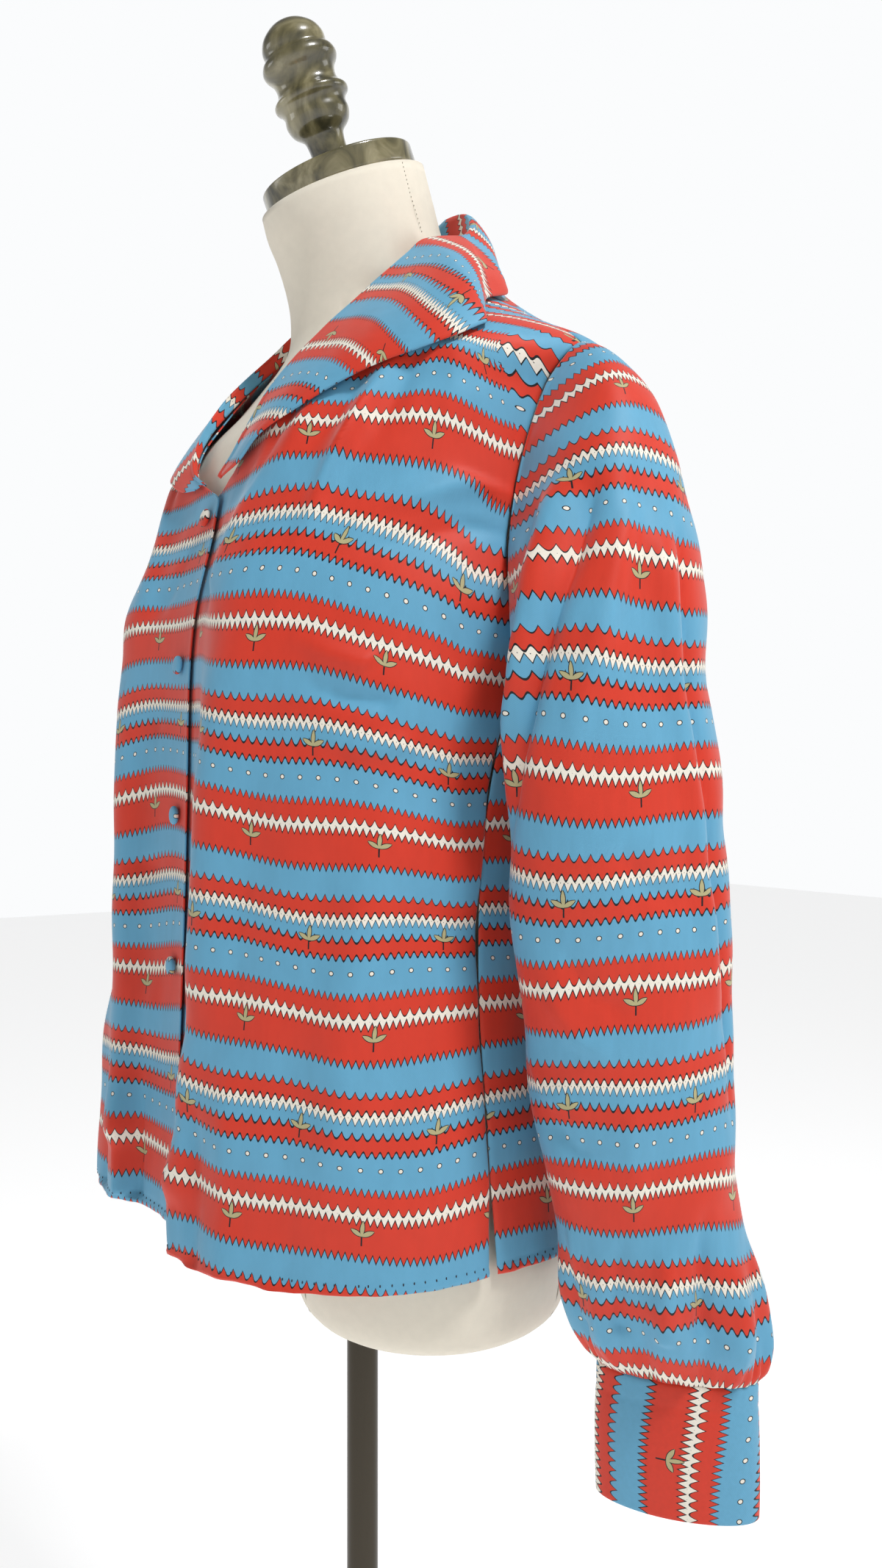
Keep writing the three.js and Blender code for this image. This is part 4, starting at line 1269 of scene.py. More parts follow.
    def cloth(self, side: Side) -> Cloth:
        """The sleeve of one side, with the folds of a hanging arm.

        Args:
            side: Wearer's side.

        Returns:
            The sleeve.
        """
        grid, angle = self.grid()
        away = path_lengths(grid, 0)
        first = self.cap_rows + 1
        v = np.where(np.arange(len(grid))[:, None] >= first, grid[..., 2],
                     self.top + (away[first][None] - away))
        around = path_lengths(np.concatenate([grid, grid[:, :1]], 1), 1)[first + 20]
        u = np.broadcast_to(around[:-1], grid.shape[:2])
        degrees = np.degrees(angle)
        height = relief(degrees, grid[..., 2], self.creases)
        height = height + relief(degrees - 360, grid[..., 2], self.creases)
        calm = smooth(away / 14) * smooth((grid[..., 2] - self.low) / 14)
        lumps = unevenness(np.cos(angle) * 60, grid[..., 2] + 50 * np.sin(angle), 20 + side.value, 70)
        head = 5.0 * np.exp(-(((degrees - 62) / 42) ** 2)) * np.exp(-(((away - 60) / 46) ** 2))
        height = (height + lumps * 0.9) * calm + head - 0.9 * np.exp(-((away / 1.6) ** 2))
        piece = Cloth(mirrored(grid, side), np.stack([u, v], -1), True, sign=float(side.value))
        return piece.raised(height)

    def cuff(self, side: Side) -> Cloth:
        """Band cuff, a little fuller at its lower edge, with its seam line near the top.

        Args:
            side: Wearer's side.

        Returns:
            The cuff.
        """
        angle = np.linspace(0, 2 * math.pi, self.columns, endpoint=False)
        drop = edged(0, self.cuff_depth, 34)
        turn = math.radians(float(self.sections.at("turn", self.low)))
        long, deep = (float(self.sections.at(name, self.low)) for name in ("long", "deep"))
        x, y = (float(self.sections.at(name, self.low)) for name in ("x", "y"))
        d, a = np.meshgrid(drop, angle, indexing="ij")
        wobble = 0.5 * np.sin(2 * a + 0.4) * (d / self.cuff_depth) + unevenness(a * 45, d, 33, 50) * 0.25
        line = -0.5 * np.exp(-(((d - 13) / 0.9) ** 2)) - 0.6 * np.exp(-((d / 1.3) ** 2))
        puff = 0.6 * np.sin(math.pi * np.clip((d - 13) / (self.cuff_depth - 13), 0, 1)) + line + wobble
        along, across = (long + puff) * np.cos(a), (deep + puff) * np.sin(a)
        p = np.stack([x + along * math.sin(turn) + across * math.cos(turn),
                      y + along * math.cos(turn) - across * math.sin(turn), self.low - d], -1)
        around = path_lengths(np.concatenate([p, p[:, :1]], 1), 1)[0, :-1]
        pattern = np.stack([np.broadcast_to(around, a.shape), 700 - d], -1)
        return Cloth(mirrored(p, side), pattern, True, 1.8, float(side.value))


@dataclass(frozen=True)
class Collar:
    """One-piece pointed collar worn open; its front edges taper down to the V."""

    stations: tuple[tuple[float, ...], ...] = (
        (1236, 0, 3, 24, 1234), (1245, 0, 4, 50, 1238), (1260, 0, 5, 76, 1249),
        (1282, 0, 7, 99, 1261), (1306, 0, 8, 118, 1273), (1332, 0, 9, 136, 1282),
        (1356, 0, 12, 152, 1288), (1374, 0, 15, 165, 1295), (1382, 0, 17, 170, 1303),
        (1386, 3, 18, 146, 1323), (1386, 8, 19, 127, 1338), (1386, 16, 20, 107, 1353),
        (1386, 34, 23, 84, 1368), (1386, 54, 25, 57, 1384), (1386, 72, 27, 29, 1397),
        (1386, 90, 28, 0, 1402),
    )
    behind_turn: float = 10.0
    tip: int = 8
    roll_lean: float = 0.12
    foot_in: float = 3.0
    fall_standoff: float = 3.0
    roll_width: float = 4.5
    thickness: float = 1.3
    fall_points: int = 34
    station_count: int = 110

    def row(self, station: tuple[float, ...]) -> np.ndarray:
        """Points of one station: up the stand, over the roll and down the fall.

        Args:
            station: Row of the stations table.

        Returns:
            Points across the collar.
        """
        seam_z, degrees, stand, x, z = station
        rear = 1.0 if degrees > 0 else 0.0
        on_front = float(TORSO.turn_at_x(seam_z, float(TORSO.edge.at("x", seam_z))))
        turn = -math.radians(degrees) if rear else on_front
        seam, normal = TORSO.point(seam_z, turn), TORSO.normal(seam_z, turn)
        out = np.array([math.cos(turn), -math.sin(turn), 0]) if rear else np.array([1.0, 0, 0])
        tip = 0.75 * (1 - rear) + 0.05 * rear
        rise = unit(np.array([0, 0, 1.0]) * (1 - tip) + normal * tip)
        foot = seam + rise * 1.2 - out * (self.foot_in * (1 - rear) + rear)
        roll = foot + rise * stand - out * self.roll_lean * stand
        edge, lift = self.edge(degrees > self.behind_turn, x, z)
        shoulder = roll + out * self.roll_width - rise * 0.6
        reach = float(np.linalg.norm(shoulder - edge))
        first = (shoulder + out * reach * 0.08) * 0.82 + edge * 0.18
        second = edge + lift * reach * 0.14 + (shoulder - edge) * 0.25
        t = np.concatenate([np.linspace(0, 1, self.fall_points), [1 - 0.8 / max(reach, 4)]])
        t = np.sort(t)[:, None]
        fall = (shoulder * (1 - t) ** 3 + first * 3 * t * (1 - t) ** 2
                + second * 3 * t * t * (1 - t) + edge * t**3)
        t = np.linspace(0, 1, 7, endpoint=False)[:, None]
        stand_part = foot * (1 - t) + roll * t
        t = np.linspace(0, 1, 6, endpoint=False)[:, None]
        over = roll + rise * stand * 0.06 + (shoulder - roll) * 0.5
        turn_part = roll * (1 - t) ** 2 + over * 2 * t * (1 - t) + shoulder * t * t
        return np.concatenate([stand_part, turn_part, fall])

    def edge(self, rear: bool, x: float, z: float) -> tuple[np.ndarray, np.ndarray]:
        """Outer edge of the collar and the direction away from the panel below it.

        Args:
            rear: Whether the station lies on the back panel.
            x: Distance from the middle.
            z: Height above the floor.

        Returns:
            The point and the direction away from the panel.
        """
        share = np.clip(x / float(TORSO.sections.at("half", z)), 0, 0.995)
        turn = float(np.arccos(share ** (float(TORSO.sections.at("square", z)) / 2)))
        turn = -turn if rear else turn
        level = z
        if rear:
            level = z - (float(TORSO.point(z, turn)[2]) - z)
        normal = TORSO.normal(level, turn)
        return TORSO.point(level, turn) + normal * (1.2 + self.fall_standoff), normal

    def between(self, rows: np.ndarray) -> np.ndarray:
        """Fine rows on a smooth surface through the stations, with a crisp tip at the edge.

        Args:
            rows: Points of each station.

        Returns:
            Points of all the fine rows, evenly spread.
        """
        last = len(rows) - 1
        slope = np.gradient(rows, axis=0)
        share = (np.arange(rows.shape[1]) / (rows.shape[1] - 1)) ** 4
        share = share[None, :, None]
        before = rows[self.tip:self.tip + 1] - rows[self.tip - 1:self.tip]
        after = rows[self.tip + 1:self.tip + 2] - rows[self.tip:self.tip + 1]
        middle = slope[self.tip:self.tip + 1]
        arriving, leaving = slope.copy(), slope.copy()
        arriving[self.tip:self.tip + 1] = middle * (1 - share) + before * share
        leaving[self.tip:self.tip + 1] = middle * (1 - share) + after * share
        places = np.concatenate([[0, 0.02], np.linspace(0, last, self.station_count)[1:]])
        places = np.unique(np.concatenate([places, [self.tip - 0.03, self.tip, self.tip + 0.03]]))
        i = np.clip(places.astype(int), 0, last - 1)
        t = (places - i)[:, None, None]
        h = t * t * (3 - 2 * t)
        bend = t * (1 - t) * ((1 - t) * leaving[i] - t * arriving[i + 1])
        fine = rows[i] * (1 - h) + rows[i + 1] * h + bend
        for _ in range(5):
            soft = fine.copy()
            soft[1:-1, :-8] = (fine[:-2, :-8] + 2 * fine[1:-1, :-8] + fine[2:, :-8]) / 4
            fine = soft
        return fine

    def cloth(self) -> Cloth:
        """The whole collar, from one end of the V round the neck to the other.

        Returns:
            The collar.
        """
        left = self.between(np.array([self.row(station) for station in self.stations]))
        right = mirrored(left[:-1], Side.RIGHT)[::-1]
        grid = np.concatenate([left, right])
        middle = 20
        along = path_lengths(grid[:, middle:middle + 1], 0)
        across = path_lengths(grid, 1)
        pattern = np.stack([across - 30, np.broadcast_to(along, across.shape)], -1)
        piece = Cloth(grid, pattern[..., ::-1], False, self.thickness, sign=-1.0)
        outward = piece.normals()[len(left) - 1, -8]
        if outward[1] < 0:
            piece = Cloth(grid, pattern[..., ::-1], False, self.thickness, sign=1.0)
        from_edge = across[:, -1:] - across
        height = 0.35 * np.exp(-(((from_edge - 2.2) / 2.0) ** 2))
        height = height + unevenness(along + 0 * across, across, 41, 46) * 0.35 * smooth(from_edge / 16)
        return piece.raised(height)


@dataclass(frozen=True)
class Blouse:
    """The whole garment, each cut piece as its own thin shell."""

    panels: Panels = Panels()
    sleeve: Sleeve = Sleeve()
    collar: Collar = Collar()
    button_radius: float = 6.0
    button_height: float = 3.4
    button_pitch: float = 96.0
    top_button_z: float = 1212.0
    front_buttons: int = 4
    button_standoff: float = 1.2
    stitch_pitch: float = 6.2

    def build(self) -> None:
        """Builds and dresses every piece of the blouse."""
        body = PrintedTwill()
        cloth = body.material("printed_twill")
        sleeve_cloth = PrintedTwill(shift=(17.0, -16.0)).material("printed_twill_sleeve")
        cuff_cloth = PrintedTwill(grain=90.0, shift=(5.0, 62.0)).material("printed_twill_cuff")
        collar_cloth = PrintedTwill(grain=76.0, shift=(9.0, 20.0)).material("printed_twill_collar")
        button_cloth = PrintedTwill(shift=(3.0, 44.0), wave=1.2).material("covered_button")
        for side in Side:
            name = side.name.lower()
            piece = self.panels.front(side)
            self.sheet(piece, f"cloth_front_{name}", cloth, "print_cloth", f"front_{name}")
            piece = self.sleeve.cloth(side)
            self.sheet(
                piece, f"cloth_sleeve_{name}", sleeve_cloth, "print_cloth", f"sleeve_{name}"
            )
            piece = self.sleeve.cuff(side)
            self.sheet(piece, f"cloth_cuff_{name}", cuff_cloth, "print_cuff", f"cuff_{name}")
        self.sheet(self.panels.back(), "cloth_back", cloth, "print_cloth", "back")
        self.sheet(self.collar.cloth(), "cloth_collar", collar_cloth, "print_collar", "collar")
        self.buttons(button_cloth)
        self.hem_stitches(Thread().material("hem_thread"))

    def sheet(
        self, piece: Cloth, name: str, material: bpy.types.Material, slot: str, node: str
    ) -> None:
        """Builds one sheet of cloth and logs its cut.

        Args:
            piece: The cloth.
            name: Name of the object.
            material: Its material.
            slot: Name of a material slot.
            node: CAD node that it stands for.
        """
        shape = placed(piece.build(name), material, slot, node)
        width, length = piece.cut()
        area = piece.area()
        LOG.info("%s: %.3f x %.3f m, %.4f m2", name, width, length, area)

    def button_profile(self) -> np.ndarray:
        """Profile of a covered button with a domed face.

        Returns:
            Radius and height of each place.
        """
        r, h = self.button_radius, self.button_height
        points = ((0, 0), (r * 0.8, 0), (r * 0.97, h * 0.22), (r, h * 0.42), (r * 0.93, h * 0.72),
                  (r * 0.7, h * 0.92), (r * 0.35, h * 1.0), (0, h * 1.02))
        return resampled(points, 4)

    def button(
        self, name: str, centre: np.ndarray, normal: np.ndarray, material: bpy.types.Material, node: str
    ) -> None:
        """Makes one button on its place and gives it its own bit of print.

        Args:
            name: Name of the object.
            centre: Middle of its back.
            normal: Way that it faces.
            material: Its material.
            node: CAD node that it stands for.
        """
        shape = turned(name, self.button_profile(), 48)
        layer = shape.data.uv_layers["pattern"].data
        for loop in shape.data.loops:
            at = shape.data.vertices[loop.vertex_index].co
            layer[loop.index].uv = (at.x + centre[2] * MM, at.y + centre[2] * MM)
        shape.rotation_mode = "QUATERNION"
        shape.rotation_quaternion = Vector((0, 0, 1)).rotation_difference(Vector(normal))
        shape.location = Vector(centre * MM)
        placed(shape, material, "button_cloth", node)

    def buttons(self, material: bpy.types.Material) -> None:
        """The front's buttons and one behind each cuff.

        Args:
            material: Cloth that covers them.
        """
        for i in range(self.front_buttons):
            z = self.top_button_z - i * self.button_pitch
            point = TORSO.point(z, math.pi / 2)
            normal = TORSO.normal(z, math.pi / 2)
            node = f"button_{i + 1}"
            self.button(f"cover_{node}", point + normal * self.button_standoff, normal, material, node)
        turn = math.radians(52)
        for side in Side:
            normal = np.array([-side.value * math.cos(turn), math.sin(turn), 0])
            centre = np.array([side.value * 241.0, 67.0, 710 - self.sleeve.cuff_depth / 2])
            node = f"cuff_button_{side.name.lower()}"
            self.button(f"cover_{node}", centre + normal * 17.4, normal, material, node)

    def hem_stitches(self, material: bpy.types.Material) -> None:
        """Pin-dot stitches that hold the rolled hem, all joined in one mesh.

        Args:
            material: The thread.
        """
        vertices, quads = [], []
        for side in Side:
            piece = self.panels.front(side)
            self.dots_along(piece, 3, vertices, quads)
        self.dots_along(self.panels.back(), 3, vertices, quads)
        shape = mesh_object("hem_stitches", np.concatenate(vertices), np.concatenate(quads))
        placed(shape, material, "print_cloth")

    def dots_along(self, piece: Cloth, row: int, vertices: list[np.ndarray], quads: list[np.ndarray]) -> None:
        """Adds small oval stitches along one row of a piece.

        Args:
            piece: Piece that is stitched.
            row: Row of its grid.
            vertices: Points of the mesh so far.
            quads: Faces of the mesh so far.
        """
        line, normal = piece.points[row], piece.normals()[row]
        lengths = path_lengths(line[None], 1)[0]
        wanted = np.arange(4, lengths[-1] - 3, self.stitch_pitch)
        rng = np.random.default_rng(SEED)
        for w in wanted + rng.uniform(-0.5, 0.5, len(wanted)):
            p = np.array([np.interp(w, lengths, line[:, k]) for k in range(3)])
            n = unit(np.array([np.interp(w, lengths, normal[:, k]) for k in range(3)]))
            side_way = unit(np.cross(n, [0, 0, 1.0]))
            up = np.cross(side_way, n)
            start = sum(len(v) for v in vertices)
            ring = np.linspace(0, 2 * math.pi, 8, endpoint=False)
            low = p + 0.1 * n + np.cos(ring)[:, None] * side_way * 0.42 + np.sin(ring)[:, None] * up * 0.9
            high = p + 0.42 * n + np.cos(ring)[:, None] * side_way * 0.2 + np.sin(ring)[:, None] * up * 0.5
            vertices.append(np.concatenate([low, high]))
            c = np.arange(8)
            sides = np.stack([c, (c + 1) % 8, (c + 1) % 8 + 8, c + 8], -1)
            caps = np.array([[8, 9, 10, 11], [8, 11, 12, 15], [12, 13, 14, 15]])
            quads.append(np.concatenate([sides, caps]) + start)


@dataclass(frozen=True)
class DressForm:
    """Limbless form: linen body with neck and thighs, lacquered neck disc and finial."""

    cap_radius: float = 54.0
    cap_height: float = 15.0
    cap_tilt: float = 23.0
    cap_centre: tuple[float, float, float] = (0.0, -15.0, 1449.0)
    neck_half: float = 54.0
    neck_depth: float = 61.0
    neck_start_z: float = 1290.0
    thigh_x: float = 91.0
    thigh_web: float = 24.0
    columns: int = 180
    gap: float = 0.3
    sections: tuple[tuple[float, ...], ...] = (
        (706, 0, 0, 0, 62), (709, 0, 0, 0, 72), (717, 0, 0, 0, 81), (732, -1, 0, 0, 86),
        (762, -3, 0, 0, 90), (805, -6, 0, 15, 0), (880, -8, 0, 12, 0), (970, -8, 0, 14, 0),
        (1050, -8, 0, 14, 0), (1126, -4, 0, 12, 0), (1180, 0, 0, 9, 0), (1230, 6, 0, 7, 0),
        (1270, 8, 0, 5, 0), (1288, 10, 0, 7, 0), (1302, 11, 0, 9, 0), (1320, 12, 0, 7, 0),
        (1340, 12, 0, 8, 0), (1360, 11, 0, 12, 0), (1380, 8, 2, 14, 0), (1408, 0, 9, 0, 0),
        (1430, -9, 17, 0, 0), (1449, -15, 23, 0, 0),
    )
    finial: tuple[tuple[float, float], ...] = (
        (0, 0), (17.5, 0), (18, 3), (17, 6), (13.2, 8), (12.8, 13), (13.2, 19.5), (14.6, 24),
        (20, 29), (22.4, 35), (22, 40.5), (23.4, 44), (25.8, 46.5), (25.8, 49.5), (22.4, 53),
        (21, 57.5), (22, 63), (25.2, 67.5), (26.2, 71), (24.8, 75), (22, 78), (22, 84), (19, 90.5),
        (12.5, 96), (6, 98.5), (0, 99),
    )

    def ring(self, z: float, y: float, tilt: float, ease: float, thigh: float) -> np.ndarray:
        """Outline of the form at one height: torso under the cloth, neck or thighs.

        Args:
            z: Height of the middle.
            y: Place of the middle, front to back.
            tilt: Tilt of the section, in degrees.
            ease: Distance under the cloth, or 0.
            thigh: Radius of a thigh, or 0.

        Returns:
            Points of the outline.
        """
        angle = np.linspace(0, 2 * math.pi, self.columns, endpoint=False)
        cx, cy = np.cos(angle), np.sin(angle)
        neck = 1 / np.hypot(cx / self.neck_half, cy / self.neck_depth)
        reach = neck
        if ease > 0:
            turns = np.linspace(-math.pi / 2, math.pi / 2, 181)
            level = TORSO.level_at(z, turns)
            line = TORSO.point(level, turns) - TORSO.normal(level, turns) * (ease + 2.5)
            bearing = np.arctan2(line[:, 1] - y, line[:, 0])
            order = np.argsort(bearing)
            away = np.hypot(line[:, 0], line[:, 1] - y)
            body = np.interp(np.arctan2(cy, np.abs(cx)), bearing[order], away[order])
            blend = np.where(cy < -0.8, 8.0, 40.0)
            scale = np.maximum(body, neck)
            both = scale * ((body / scale) ** blend + (neck / scale) ** blend) ** (1 / blend)
            reach = body if z < self.neck_start_z else both
        if thigh > 0:
            inside = np.maximum(thigh**2 - (self.thigh_x * cy) ** 2, self.thigh_web**2)
            reach = self.thigh_x * np.abs(cx) + np.sqrt(inside)
        back = reach * cy
        tilt = math.radians(tilt)
        return np.stack([reach * cx, y + back * math.cos(tilt), z + back * math.sin(tilt)], -1)

    def body(self) -> bpy.types.Object:
        """Linen body as one smooth loft.

        Returns:
            The object, in metres.
        """
        rings = np.array([self.ring(*row) for row in self.sections])
        z = np.array([row[0] for row in self.sections], float)
        fine = np.unique(np.concatenate([np.linspace(706, 762, 22), np.linspace(762, 1449, 130)]))
        before, after = np.maximum(np.arange(len(z)) - 1, 0), np.minimum(np.arange(len(z)) + 1, len(z) - 1)
        slope = (rings[after] - rings[before]) / (z[after] - z[before])[:, None, None]
        i = np.clip(np.searchsorted(z, fine, side="left") - 1, 0, len(z) - 2)
        span = (z[i + 1] - z[i])[:, None, None]
        t = ((fine - z[i]) / (z[i + 1] - z[i]))[:, None, None]
        h = t * t * (3 - 2 * t)
        bend = span * t * (1 - t) * ((1 - t) * slope[i] - t * slope[i + 1])
        grid = rings[i] * (1 - h) + rings[i + 1] * h + bend
        bottom = grid[0].mean(0)
        inner = [bottom + (grid[0] - bottom) * s - [0, 0, 0.6 * (1 - s)] for s in (0.02, 0.5, 0.9)]
        top = grid[-1].mean(0)
        lid = [top + (grid[-1] - top) * s for s in (0.9, 0.02)]
        grid = np.concatenate([np.array(inner), grid, np.array(lid)])
        rows = len(grid)
        r, c = np.arange(rows - 1)[:, None], np.arange(self.columns)[None]
        n = (c + 1) % self.columns
        quads = np.stack([r * self.columns + c, r * self.columns + n, (r + 1) * self.columns + n,
                          (r + 1) * self.columns + c], -1).reshape(-1, 4)
        around = path_lengths(np.concatenate([grid, grid[:, :1]], 1), 1)[rows // 2, :-1]
        uv = np.stack([np.broadcast_to(around, grid.shape[:2]), path_lengths(grid, 0)], -1)
        return mesh_object("linen_body", grid.reshape(-1, 3), quads, uv.reshape(-1, 2)[quads.ravel()])

    def tilted(self, shape: bpy.types.Object, height: float) -> bpy.types.Object:
        """Puts a turned piece on the neck's tilted axis.

        Args:
            shape: Piece that was turned upright.
            height: Distance along the axis.

        Returns:
            The same object.
        """
        tilt = math.radians(self.cap_tilt)
        axis = Vector((0, -math.sin(tilt), math.cos(tilt)))
        shape.rotation_euler = (tilt, 0, 0)
        shape.location = (Vector(self.cap_centre) + axis * height) * MM
        return shape

    def build(self) -> None:
        """Builds and dresses the form."""
        linen = Linen().material("linen")
        lacquer = MarbledLacquer().material("marbled_lacquer")
        placed(self.body(), linen, "form_linen", "form_body")
        r, h = self.cap_radius, self.cap_height
        rim = 1.8
        arc = np.linspace(0, math.pi / 2, 7)
        low = np.stack([r - rim + rim * np.sin(arc), rim - rim * np.cos(arc)], -1)
        high = np.stack([r - rim + rim * np.cos(arc), h - rim + rim * np.sin(arc)], -1)
        profile = np.concatenate([[[0, 0], [r * 0.5, 0]], low, high, [[r * 0.5, h], [0, h]]])
        placed(self.tilted(turned("neck_disc", profile, 128), self.gap), lacquer, "lacquer", "neck_cap")
        knob = turned("turned_finial", resampled(self.finial, 5), 96)
        placed(self.tilted(knob, h + 2 * self.gap), lacquer, "lacquer", "finial")
        self.seams(Thread("#A29A87").material("linen_thread"))

    def seams(self, material: bpy.types.Material) -> None:
        """Dotted seam down the left side of the neck.

        Args:
            material: The thread.
        """
        dots: list[np.ndarray] = []
        quads: list[np.ndarray] = []
        for k in range(24):
            z = 1392 + k * 2.4
            levels = [1380, 1408, 1430, 1449]
            y, tilt = np.interp(z, levels, [8, 0, -9, -15]), np.interp(z, levels, [2, 9, 17, 23])
            ring = self.ring(z, float(y), float(tilt), 0, 0)
            p = ring[9]
            n = unit(p - ring.mean(0))
            ring8 = np.linspace(0, 2 * math.pi, 6, endpoint=False)
            along = unit(np.cross(n, [0, 0, 1.0]))
            up = np.cross(along, n)
            start = sum(len(d) for d in dots)
            dots.append(np.concatenate([
                p + np.cos(ring8)[:, None] * along * 0.35 + np.sin(ring8)[:, None] * up * 0.7,
                p + 0.35 * n + np.cos(ring8)[:, None] * along * 0.2 + np.sin(ring8)[:, None] * up * 0.4]))
            c = np.arange(6)
            sides = np.stack([c, (c + 1) % 6, (c + 1) % 6 + 6, c + 6], -1)
            quads.append(np.concatenate([sides, np.array([[6, 7, 8, 9], [6, 9, 10, 11]])]) + start)
        shape = mesh_object("neck_seam", np.concatenate(dots), np.concatenate(quads))
        placed(shape, material, "form_linen")
        for name, column in (("front", 157), ("side", 7)):
            placed(self.thigh_seam(f"thigh_seam_{name}", column), material, "form_linen")

    def thigh_seam(self, name: str, column: int) -> bpy.types.Object:
        """Fine raised seam down a thigh.

        Args:
            name: Name of the object.
            column: Column of the body's rings that it follows.

        Returns:
            The seam as a thin ribbon.
        """
        rows = []
        low = [row[0] for row in self.sections[:5]]
        for z in np.linspace(716, 790, 30):
            thigh = float(np.interp(z, low, [row[4] for row in self.sections[:5]]))
            middle = float(np.interp(z, low, [row[1] for row in self.sections[:5]]))
            ring = self.ring(float(z), middle, 0, 0, thigh)
            p, after = ring[column], ring[column + 1]
            along = unit(after - p)
            out = np.array([along[1], -along[0], 0])
            bow = 3.0 * math.sin((z - 716) / 74 * math.pi)
            ribbon = ((-1, -0.2), (0, 0.7), (1, -0.2))
            rows.append([p + along * (bow + side * 0.8) + out * rise for side, rise in ribbon])
        grid = np.array(rows)
        r, c = np.arange(len(grid) - 1)[:, None], np.arange(2)[None]
        quads = np.stack([r * 3 + c, r * 3 + c + 1, (r + 1) * 3 + c + 1, (r + 1) * 3 + c], -1).reshape(-1, 4)
        return mesh_object(name, grid.reshape(-1, 3), quads)


@dataclass(frozen=True)
class Stand:
    """Steel pole and round base."""

    pole_radius: float = 10.8
    pole_top_z: float = 705.7
    base_radius: float = 165.0
    base_height: float = 26.0
    gap: float = 0.3

    def build(self) -> None:
        """Builds and dresses the stand."""
        steel = BronzedSteel().material("bronzed_steel")
        low, high = self.base_height + self.gap, self.pole_top_z
        r = self.pole_radius
        pole = np.array([
            [0, low], [r * 0.99, low], [r, low + 0.5], [r, high - 0.5], [r * 0.99, high], [0, high],
        ])
        placed(turned("steel_pole", pole, 64), steel, "stand_metal", "pole")
        R, h = self.base_radius, self.base_height
        base = np.array([[0, 0], [R - 2.4, 0], [R - 0.6, 0.6], [R, 2.2], [R, 7.6], [R - 0.8, 9.6],
                         [R - 3.4, 11],
                         [R - 12, 12.2], [R - 40, 15], [60, 17.2], [30, 18.6], [26, 19.2], [23.4, 21],
                         [22.4, h - 2], [21.4, h - 0.5], [20, h], [0, h]])
        placed(turned("steel_base", base, 160), steel, "stand_metal", "base")


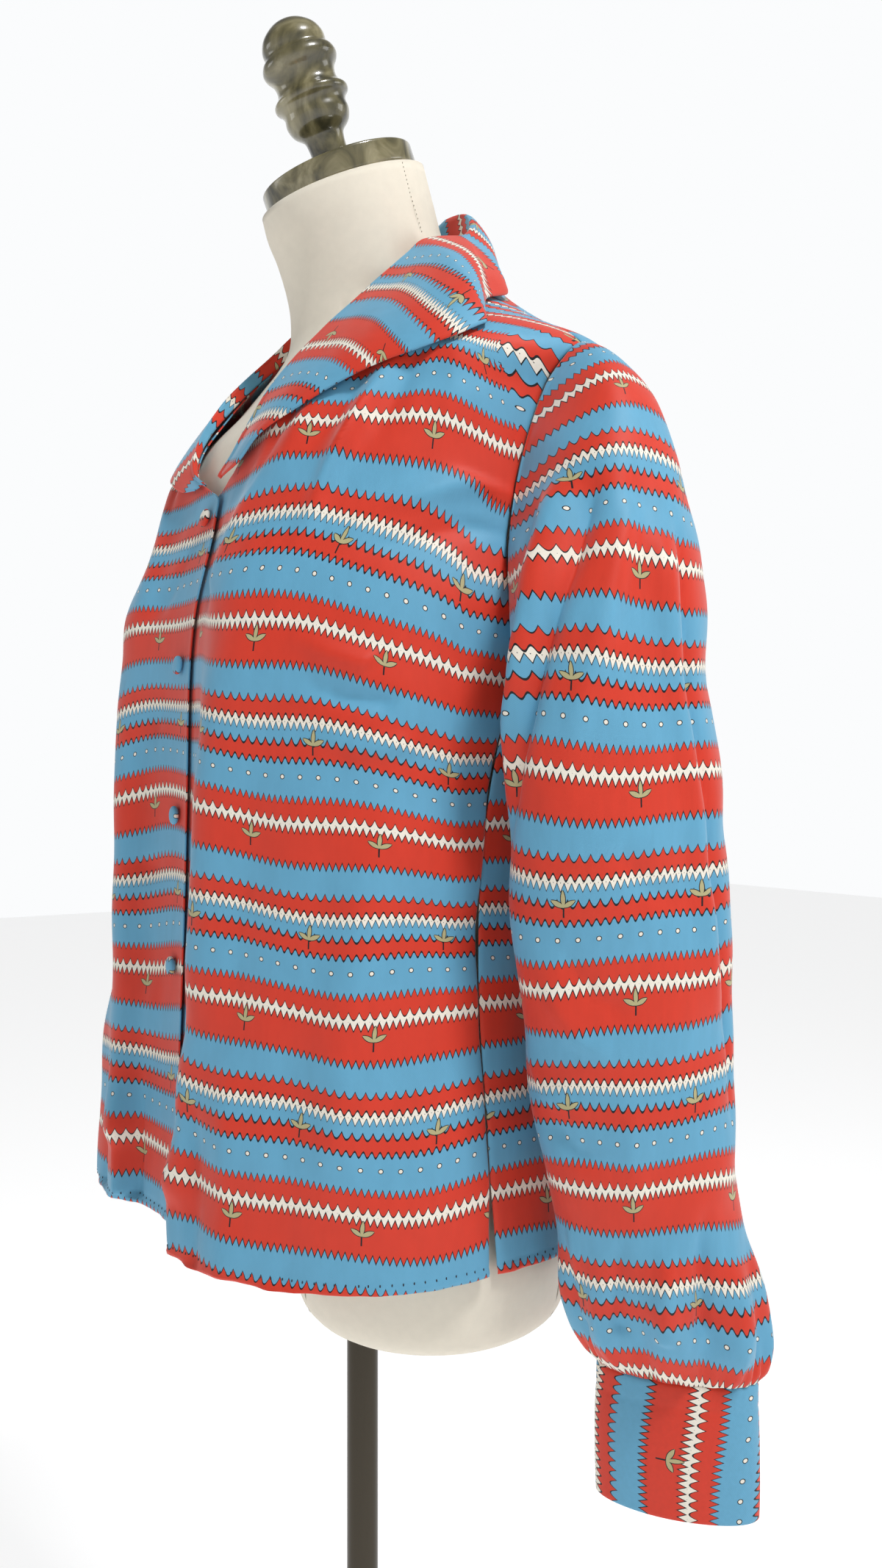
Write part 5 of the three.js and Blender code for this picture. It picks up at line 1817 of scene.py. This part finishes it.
@dataclass(frozen=True)
class Studio:
    """Pale floor, soft lights and the camera at the photograph's angle."""

    focal: float = 1650.0
    image_height: float = 2134.0
    distance: float = 850.0
    aim_right: float = 55.0
    aim_z: float = 1040.0
    angle: float = 57.0
    sensor: float = 36.0
    dim: float = 0.17
    horizon: float = 0.34
    bright: float = 1.0
    lights: tuple[tuple[tuple[float, float, float], float, float], ...] = field(default=(
        ((1.5, 0.1, 3.1), 0.45, 44.0),
        ((-1.5, -2.1, 1.9), 0.9, 5.0),
        ((1.2, 2.2, 2.2), 1.0, 8.0),
    ))

    def build(self) -> None:
        """Builds the floor, the lights and the camera."""
        self.floor()
        self.light()
        self.camera()

    def floor(self) -> None:
        """Flat pale floor, wide enough to reach past the camera's view."""
        mesh = bpy.data.meshes.new("floor")
        s = 9.0
        mesh.from_pydata([(-s, -s, 0), (s, -s, 0), (s, s, 0), (-s, s, 0)], [], [(0, 1, 2, 3)])
        shape = bpy.data.objects.new("floor", mesh)
        bpy.context.scene.collection.objects.link(shape)
        shape.data.materials.append(PaperFloor().material("studio_paper"))

    def light(self) -> None:
        """Large soft lights, and a room that is bright behind the object and dim in front."""
        for i, (place, size, power) in enumerate(self.lights):
            data = bpy.data.lights.new(f"softbox_{i}", "AREA")
            data.energy = power
            data.shape = "SQUARE"
            data.size = size
            lamp = bpy.data.objects.new(f"softbox_{i}", data)
            lamp.location = place
            aim = Vector((0, 0, 1.05)) - Vector(place)
            lamp.rotation_euler = aim.to_track_quat("-Z", "Y").to_euler()
            bpy.context.scene.collection.objects.link(lamp)
        world = bpy.context.scene.world or bpy.data.worlds.new("room")
        bpy.context.scene.world = world
        world.use_nodes = True
        back = next(n for n in world.node_tree.nodes if n.type == "BACKGROUND")
        back.inputs["Color"].default_value = linear("#FBFCFD")
        self.glow(world.node_tree, back)
        bpy.context.scene.view_settings.view_transform = "Standard"

    def glow(self, tree: bpy.types.NodeTree, back: bpy.types.Node) -> None:
        """Makes the room dim in front and bright like lit paper behind the object.

        Args:
            tree: The room's tree.
            back: Its background node.
        """
        theta = math.radians(self.angle)
        place = add_node(tree, "ShaderNodeTexCoord")
        links = {0: place.outputs["Generated"], 1: (-math.sin(theta), math.cos(theta), 0.0)}
        facing = add_node(tree, "ShaderNodeVectorMath", {"operation": "DOT_PRODUCT"}, links)
        links = {0: facing.outputs["Value"], 1: 0.5, 2: 0.78, 3: self.dim, 4: self.bright}
        level = add_node(tree, "ShaderNodeMapRange", {"interpolation_type": "SMOOTHSTEP"}, links)
        split = add_node(tree, "ShaderNodeSeparateXYZ", None, {0: place.outputs["Generated"]})
        height = Signal(tree, split.outputs[2]).op("ABSOLUTE")
        links = {0: height, 1: 0.05, 2: 0.6, 3: self.horizon, 4: 0.0}
        band = add_node(tree, "ShaderNodeMapRange", {"interpolation_type": "SMOOTHSTEP"}, links)
        strength = (Signal(tree, level.outputs[0]) + Signal(tree, band.outputs[0])).op("MINIMUM", self.bright)
        tree.links.new(strength.socket, back.inputs["Strength"])

    def camera(self) -> None:
        """Camera solved from the photograph, level and without shift."""
        theta = math.radians(self.angle)
        away = Vector((math.sin(theta), -math.cos(theta), 0))
        right = Vector((math.cos(theta), math.sin(theta), 0))
        data = bpy.data.cameras.new("camera")
        data.sensor_width = self.sensor
        data.lens = self.focal / self.image_height * self.sensor
        data.clip_start = 0.02
        data.clip_end = 60
        data.dof.use_dof = False
        shape = bpy.data.objects.new("camera", data)
        shape.location = (away * self.distance + right * self.aim_right + Vector((0, 0, self.aim_z))) * MM
        shape.rotation_mode = "QUATERNION"
        shape.rotation_quaternion = (-away).to_track_quat("-Z", "Y")
        bpy.context.scene.collection.objects.link(shape)
        bpy.context.scene.camera = shape


def main() -> None:
    """Builds the blouse, the form, the stand and the studio in order."""
    logging.basicConfig(level=logging.INFO, format="%(name)s: %(message)s")
    for part in (Blouse(), DressForm(), Stand(), Studio()):
        LOG.info("building %s", type(part).__name__)
        part.build()


if __name__ == "__main__":
    main()
